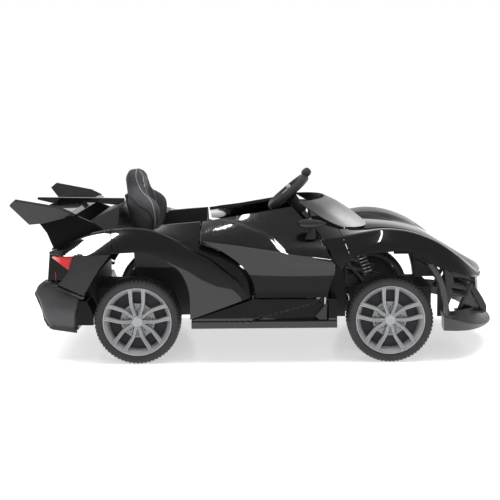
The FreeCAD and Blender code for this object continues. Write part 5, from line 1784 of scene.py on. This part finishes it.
@dataclass
class BucketSeat:
    """Cloth-padded backrest and cushion, with piping sewn along their seams."""

    back: tuple = ((266.0, -6.0, 6.0, 7.0, 92.0), (309.0, -14.0, 8.0, 26.0, 110.0),
                   (328.0, -20.0, 10.0, 40.0, 119.0), (350.0, -28.0, 8.0, 46.0, 127.0),
                   (375.0, -34.0, 5.0, 51.0, 130.0), (400.0, -40.0, 0.0, 48.0, 128.0),
                   (420.0, -43.0, -4.0, 33.0, 116.0), (435.0, -45.0, -7.0, 13.0, 97.0),
                   (455.0, -49.0, -6.0, 2.0, 71.0), (480.0, -52.0, -7.0, -4.0, 57.0),
                   (493.0, -50.0, -13.0, -11.0, 46.0), (499.0, -45.0, -19.0, -18.0, 34.0))
    cushion: tuple = ((12.0, 92.0, 22.0), (50.0, 109.0, 39.0), (90.0, 112.0, 43.0), (130.0, 112.0, 43.0),
                      (184.0, 106.0, 35.0), (202.0, 92.0, 18.0))
    floor: float = 263.4
    voxel: float = 5.0
    frames: int = 20
    pressure: float = 4.0
    swell: float = 3.5
    seams: tuple = (
        ("edge", PIPING_GREY, ((-24, 0.5, 498), (-21, 0.78, 473), (-9, 0.9, 448), (16, 0.94, 427),
                               (31, 0.97, 405), (36, 0.98, 383), (37, 0.98, 342), (22, 0.98, 312))),
        ("panel", PIPING_GREY, ((-14, 0.62, 490), (-7, 0.72, 462), (-2, 0.66, 440), (6, 0.6, 410),
                                (12, 0.58, 370), (14, 0.58, 335), (8, 0.55, 300))),
        ("shell", SATIN_BLACK, ((-40, 0.9, 432), (-33, 0.97, 426), (-9, 0.99, 405), (16, 0.99, 391),
                                (27, 0.99, 375), (31, 0.99, 355), (24, 0.98, 318))))
    seam_radius: float = 1.3
    seam_lift: float = 0.4

    def build(self) -> None:
        """Make the backrest, the cushion and their piping."""
        backrest = self.pad("backrest_padding", *stacked(self.back_rings()))
        cushion = self.pad("cushion_padding", *stacked(self.cushion_rings()))
        ride(backrest, CHASSIS, "leatherette", "backrest_pad")
        ride(cushion, CHASSIS, "leatherette", "seat_cushion")
        self.piping(backrest)

    def back_rings(self) -> list[np.ndarray]:
        """Level rings of the backrest, from the bottom up."""
        rings = []
        for z, rear, middle, bolster, half in spline(self.back, 44):
            right = [(rear, 0.0), (rear + 1, 0.5 * half), (rear + 6, 0.82 * half),
                     ((rear + bolster) / 2, half), (bolster - 5, 0.97 * half), (bolster, 0.84 * half),
                     ((bolster + middle) / 2, 0.62 * half), (middle + 1, 0.36 * half), (middle, 0.0)]
            left = [(x, -y) for x, y in right[-2:0:-1]]
            ring = closed_spline(right + left, 72)
            rings.append(np.array([[REAR_AXLE + x, y, z] for x, y in ring]))
        return rings

    def cushion_rings(self) -> list[np.ndarray]:
        """Rings across the cushion, from the back forwards."""
        rings = []
        for x, half, tall in spline(self.cushion, 36):
            right = [(0.0, 0.0), (0.6 * half, 0.0), (0.93 * half, 3.0), (half, 0.35 * tall),
                     (0.95 * half, 0.75 * tall), (0.78 * half, tall), (0.45 * half, 0.9 * tall),
                     (0.0, 0.86 * tall)]
            left = [(-y, z) for y, z in right[-2:0:-1]]
            ring = closed_spline(right + left, 56)
            rings.append(np.array([[REAR_AXLE + x, y, self.floor + max(z, 0.0)] for y, z in ring]))
        return rings

    def pad(self, name: str, points: np.ndarray, faces: Faces) -> Piece:
        """A padded piece: remeshed, blown up as cloth, held near its start and subdivided.

        Args:
            name: the piece's name.
            points: the slack form's points.
            faces: its faces.
        Returns:
            The piece.
        """
        piece = new_piece(name, points, faces, LEATHERETTE, 180.0)
        mesher = piece.modifiers.new("remesh", "REMESH")
        mesher.mode = "VOXEL"
        mesher.voxel_size = self.voxel * MM
        mesher.use_smooth_shade = True
        baked(piece)
        start = np.array([vertex.co[:] for vertex in piece.data.vertices])
        self.blow_up(piece)
        self.hold(piece, start)
        round_over = piece.modifiers.new("rounded", "SUBSURF")
        round_over.levels = 1
        round_over.render_levels = 1
        baked(piece)
        piece.data.materials.clear()
        piece.data.materials.append(LEATHERETTE.material())
        piece.data.shade_smooth()
        return piece

    def blow_up(self, piece: Piece) -> None:
        """Run the cloth with air inside it.

        Args:
            piece: the slack form, which becomes the filled one.
        """
        cloth = piece.modifiers.new("padding", "CLOTH")
        cloth.settings.use_pressure = True
        cloth.settings.uniform_pressure_force = self.pressure
        cloth.settings.effector_weights.gravity = 0.0
        cloth.settings.quality = 5
        cloth.point_cache.frame_start = 1
        cloth.point_cache.frame_end = self.frames
        for step in range(1, self.frames + 1):
            bpy.context.scene.frame_set(step)
        baked(piece)
        bpy.context.scene.frame_set(1)

    def hold(self, piece: Piece, start: np.ndarray) -> None:
        """Cap how far each point has moved from its start.

        Args:
            piece: the filled form.
            start: where its points began, in metres.
        """
        ended = np.array([vertex.co[:] for vertex in piece.data.vertices])
        move = ended - start
        length = np.linalg.norm(move, axis=1, keepdims=True)
        limit = self.swell * MM
        kept = start + move * np.minimum(1.0, limit / np.maximum(length, 1e-9))
        piece.data.vertices.foreach_set("co", kept.ravel())
        piece.data.update()

    def piping(self, backrest: Piece) -> None:
        """Sew piping along the seams of the backrest.

        Args:
            backrest: the finished pad.
        """
        sections = np.array(self.back)
        for name, finish, line in self.seams:
            for side in Side:
                given = []
                for x, share, z in spline(line, 60):
                    half = float(np.interp(z, sections[:, 0], sections[:, 4]))
                    near = Vector((REAR_AXLE + x, side.value * share * half * 1.05, z)) * MM
                    _, place, normal, _ = backrest.closest_point_on_mesh(near)
                    given.append((place + normal * self.seam_lift * MM) / MM)
                points, faces = tube(spline(given, 90), self.seam_radius, 8)
                piece = new_piece(f"piping_{name}_{side.word}", points, faces, finish)
                ride(piece, CHASSIS, "leatherette")


# Floor, light and camera


@dataclass(frozen=True)
class SoftBox:
    """A rectangular lamp aimed at a point, in metres, with the brightness of its face."""

    name: str
    place: tuple[float, float, float]
    aim: tuple[float, float, float]
    span: tuple[float, float]
    bright: float
    lights: tuple[str, ...] = ()

    def build(self) -> Piece:
        """Make the lamp."""
        light = bpy.data.lights.new(self.name, "AREA")
        light.shape = "RECTANGLE"
        light.size, light.size_y = self.span
        light.energy = self.bright * 4 * math.pi * self.span[0] * self.span[1]
        lamp = bpy.data.objects.new(self.name, light)
        lamp.location = self.place
        lamp.rotation_euler = (Vector(self.aim) - Vector(self.place)).to_track_quat("-Z", "Y").to_euler()
        bpy.context.scene.collection.objects.link(lamp)
        if self.lights:
            lamp.visible_diffuse = False
            lamp.light_linking.receiver_collection = self.receivers()
        return lamp

    def receivers(self) -> bpy.types.Collection:
        """The pieces that the lamp may show in, picked by the start of their names."""
        found = bpy.data.collections.new(self.name + "_receivers")
        for piece in bpy.context.scene.objects:
            if piece.name.startswith(self.lights):
                found.objects.link(piece)
        return found


@dataclass
class Studio:
    """Pale floor, soft lamps and the photograph's viewpoint."""

    eye: tuple[float, float, float] = (2.0, -3000.0, 688.5)
    focal: float = 1050.0
    picture: float = 500.0
    vanish: tuple[float, float] = (262.0, 100.0)
    roll: float = -0.62
    floor_edge: float = -1350.0
    floor_reach: float = 6000.0
    floor_glow: float = 0.5
    floor_mirror: float = 1.7
    ceiling: float = 0.28
    ambient: float = 0.5
    soft_boxes: tuple[SoftBox, ...] = (
        SoftBox("overhead", (0.0, -0.2, 2.7), (0.0, 0.0, 0.0), (3.4, 2.2), 1.3),
        SoftBox("front_fill", (0.0, -3.4, 1.5), (0.0, 0.0, 0.2), (3.0, 1.4), 0.5))
    highlights: tuple[SoftBox, ...] = (
        SoftBox("tail_strip", (-1.45, -0.5, 2.4), (-1.45, -0.5, 0.0), (1.0, 2.3), 14.0, ("rear_fender",)),
        SoftBox("hook_strip", (-0.36, 1.42, 2.3), (-0.36, 1.42, 0.0), (0.1, 0.24), 12.0, ("door_right",)),
        SoftBox("style_strip", (1.15, -0.3, 2.3), (1.15, -0.3, 0.0), (1.1, 1.4), 14.0, ("door_right",)),
        SoftBox("crest_strip", (0.34, -2.1, 2.3), (0.34, -2.1, 0.0), (0.05, 1.6), 16.0, ("front_fender",)),
        SoftBox("visor_box", (2.4, 1.5, 1.7), (0.25, 0.0, 0.38), (1.8, 2.0), 4.2, ("windscreen_cowl",)),
        SoftBox("nose_box", (3.0, -0.4, 1.2), (0.4, 0.0, 0.3), (1.6, 1.8), 2.0, ("bonnet",)))

    def build(self) -> None:
        """Make floor, world, lamps and camera."""
        self.floor()
        self.world()
        self.lamps()
        self.camera()

    def floor(self) -> None:
        """A pale floor that ends in front of the car."""
        near, far = self.floor_edge, self.floor_reach
        corners = np.array([(-far, near, 0), (far, near, 0), (far, far, 0), (-far, far, 0)], float)
        floor = new_piece("floor", corners, [(0, 1, 2, 3)], GLOSS_BLACK)
        material = bpy.data.materials.new("pale_floor")
        material.use_nodes = True
        book = NodeBook(material.node_tree)
        mottle = book.fit(book.noise(3.0, 3.0), 0.3, 0.7, 0.0, 1.0)
        colour = book.mix(mottle, grey(0.84), grey(0.86))
        shader = book.add("ShaderNodeBsdfPrincipled", None,
                          {"Base Color": colour, "Roughness": 0.22, "Specular IOR Level": 0.35})
        rays = book.add("ShaderNodeLightPath")
        seen = book.value(rays, "Is Camera Ray") * self.floor_glow
        glow = book.add("ShaderNodeEmission", None, {"Color": grey(1.0), "Strength": seen})
        both = book.add("ShaderNodeAddShader", None, {0: shader.outputs[0], 1: glow.outputs[0]})
        mirror = book.add("ShaderNodeEmission", None, {"Color": grey(1.0), "Strength": self.floor_mirror})
        shown = book.add("ShaderNodeMixShader", None,
                         {0: rays.outputs["Is Glossy Ray"], 1: both.outputs[0], 2: mirror.outputs[0]})
        book.add("ShaderNodeOutputMaterial", None, {"Surface": shown.outputs[0]})
        floor.data.materials.clear()
        floor.data.materials.append(material)

    def world(self) -> None:
        """White round the horizon with a dark ceiling in reflections, and even light for matt faces."""
        world = bpy.data.worlds.new("studio")
        bpy.context.scene.world = world
        world.use_nodes = True
        book = NodeBook(world.node_tree)
        direction = book.add("ShaderNodeTexCoord").outputs["Generated"]
        parts = book.add("ShaderNodeSeparateXYZ", None, {0: direction})
        up = book.value(parts, "Z")
        near = book.fit(up, -0.1, 0.4, 0.5, self.ceiling)
        far = book.fit(up, 0.05, 0.5, 0.75, self.ceiling)
        share = book.fit(book.value(parts, "Y"), -0.2, 0.6, 0.0, 1.0)
        mirror = near * (1 - share) + far * share
        rays = book.add("ShaderNodeLightPath")
        camera = book.value(rays, "Is Camera Ray").most(book.value(rays, "Is Transmission Ray"))
        glossy = book.value(rays, "Is Glossy Ray")
        unseen = glossy * mirror + (1 - glossy) * self.ambient
        strength = camera + (1 - camera) * unseen
        glow = book.add("ShaderNodeBackground", None, {"Color": grey(1.0), "Strength": strength})
        book.add("ShaderNodeOutputWorld", None, {"Surface": glow.outputs[0]})

    def lamps(self) -> None:
        """Soft boxes for the matt faces, and narrow ones that only show in the gloss panels."""
        for lamp in self.soft_boxes:
            lamp.build().visible_glossy = False
        for lamp in self.highlights:
            lamp.build()

    def camera(self) -> None:
        """The camera of the photograph."""
        yaw = math.atan((self.vanish[0] - self.picture / 2) / self.focal)
        pitch = math.atan2((self.picture / 2 - self.vanish[1]) / self.focal, 1.0)
        turn = Matrix.Rotation(yaw, 3, "Z")
        ahead = turn @ Vector((0.0, math.cos(pitch), -math.sin(pitch)))
        right = turn @ Vector((1.0, 0.0, 0.0))
        up = right.cross(ahead)
        tilt = math.radians(self.roll)
        level = right * math.cos(tilt) + up * math.sin(tilt)
        rise = up * math.cos(tilt) - right * math.sin(tilt)
        data = bpy.data.cameras.new("photo_view")
        data.sensor_width = 36.0
        data.lens = 36.0 * self.focal / self.picture
        data.clip_end = 100.0
        camera = bpy.data.objects.new("photo_view", data)
        turned = Matrix((level, rise, -ahead)).transposed()
        camera.matrix_world = Matrix.Translation(Vector(self.eye) * MM) @ turned.to_4x4()
        bpy.context.scene.collection.objects.link(camera)
        bpy.context.scene.camera = camera


CARRIED_OVER = {
    "steering_shaft": BARE_STEEL, "tie_rod": BARE_STEEL, "knuckle_right": BARE_STEEL,
    "knuckle_left": BARE_STEEL, "rear_axle": BARE_STEEL, "door_hinge_pins": BARE_STEEL,
    "drive_motors": BARE_STEEL, "horn_button": BUTTON_GREY, "power_button": BUTTON_GREY,
    "drive_switch": SATIN_GREY, "accelerator_pedal": SATIN_GREY, "gearboxes": SATIN_GREY,
    "control_box": SATIN_GREY, "battery": SATIN_BLACK}


def write_sizes() -> None:
    """Bring the view layer up to date."""
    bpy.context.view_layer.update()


def main() -> None:
    """Build every sub-assembly in order."""
    logging.basicConfig(level=logging.INFO, format="%(message)s")
    bpy.context.scene.view_settings.view_transform = "Standard"
    REAR_FENDER.build()
    FRONT_FENDER.build()
    QuarterShoulder().build()
    BonnetPanel().build()
    DoorPanel().build()
    ScreenCowl().build()
    for node, finish, slot in (
            ("winglets", SATIN_GREY, "dark_plastic"), ("wing_uprights", DEEP_BLACK, "black_gloss"),
            ("wing_blade", GLOSS_BLACK, "black_gloss"), ("wing_spine", GLOSS_BLACK, "black_gloss"),
            ("rear_deck", SATIN_BLACK, "dark_plastic"), ("tail_panel", GLOSS_BLACK, "black_gloss"),
            ("tail_lights", TAIL_RED, "red_lens"), ("rear_corners", SATIN_GREY, "dark_plastic"),
            ("rear_diffuser", SATIN_GREY, "dark_plastic"), ("quarter_panels", SATIN_BLACK, "dark_plastic"),
            ("dashboard", SATIN_BLACK, "dark_plastic"), ("seat_shell", SATIN_GREY, "dark_plastic"),
            ("chassis_tub", CHASSIS_BLACK, "chassis_black")):
        moulding(node, finish, slot)
    for assembly in (HeadLamp(), SideSkirt(), NoseSplitter(), NoseFrame(), DiffuserCheek(), BodyTrim(),
                     SpringStrut()):
        assembly.build()
    for end in End:
        for side in Side:
            RoadWheel(end, side).build()
    DoorMirror().build()
    SteeringWheel().build()
    BucketSeat().build()
    for node in frame["nodes"]:
        if not frame["nodes"][node].hide_render:
            dress_node(node, CARRIED_OVER.get(node, CHASSIS_BLACK))
    write_sizes()
    Studio().build()


if __name__ == "__main__":
    main()
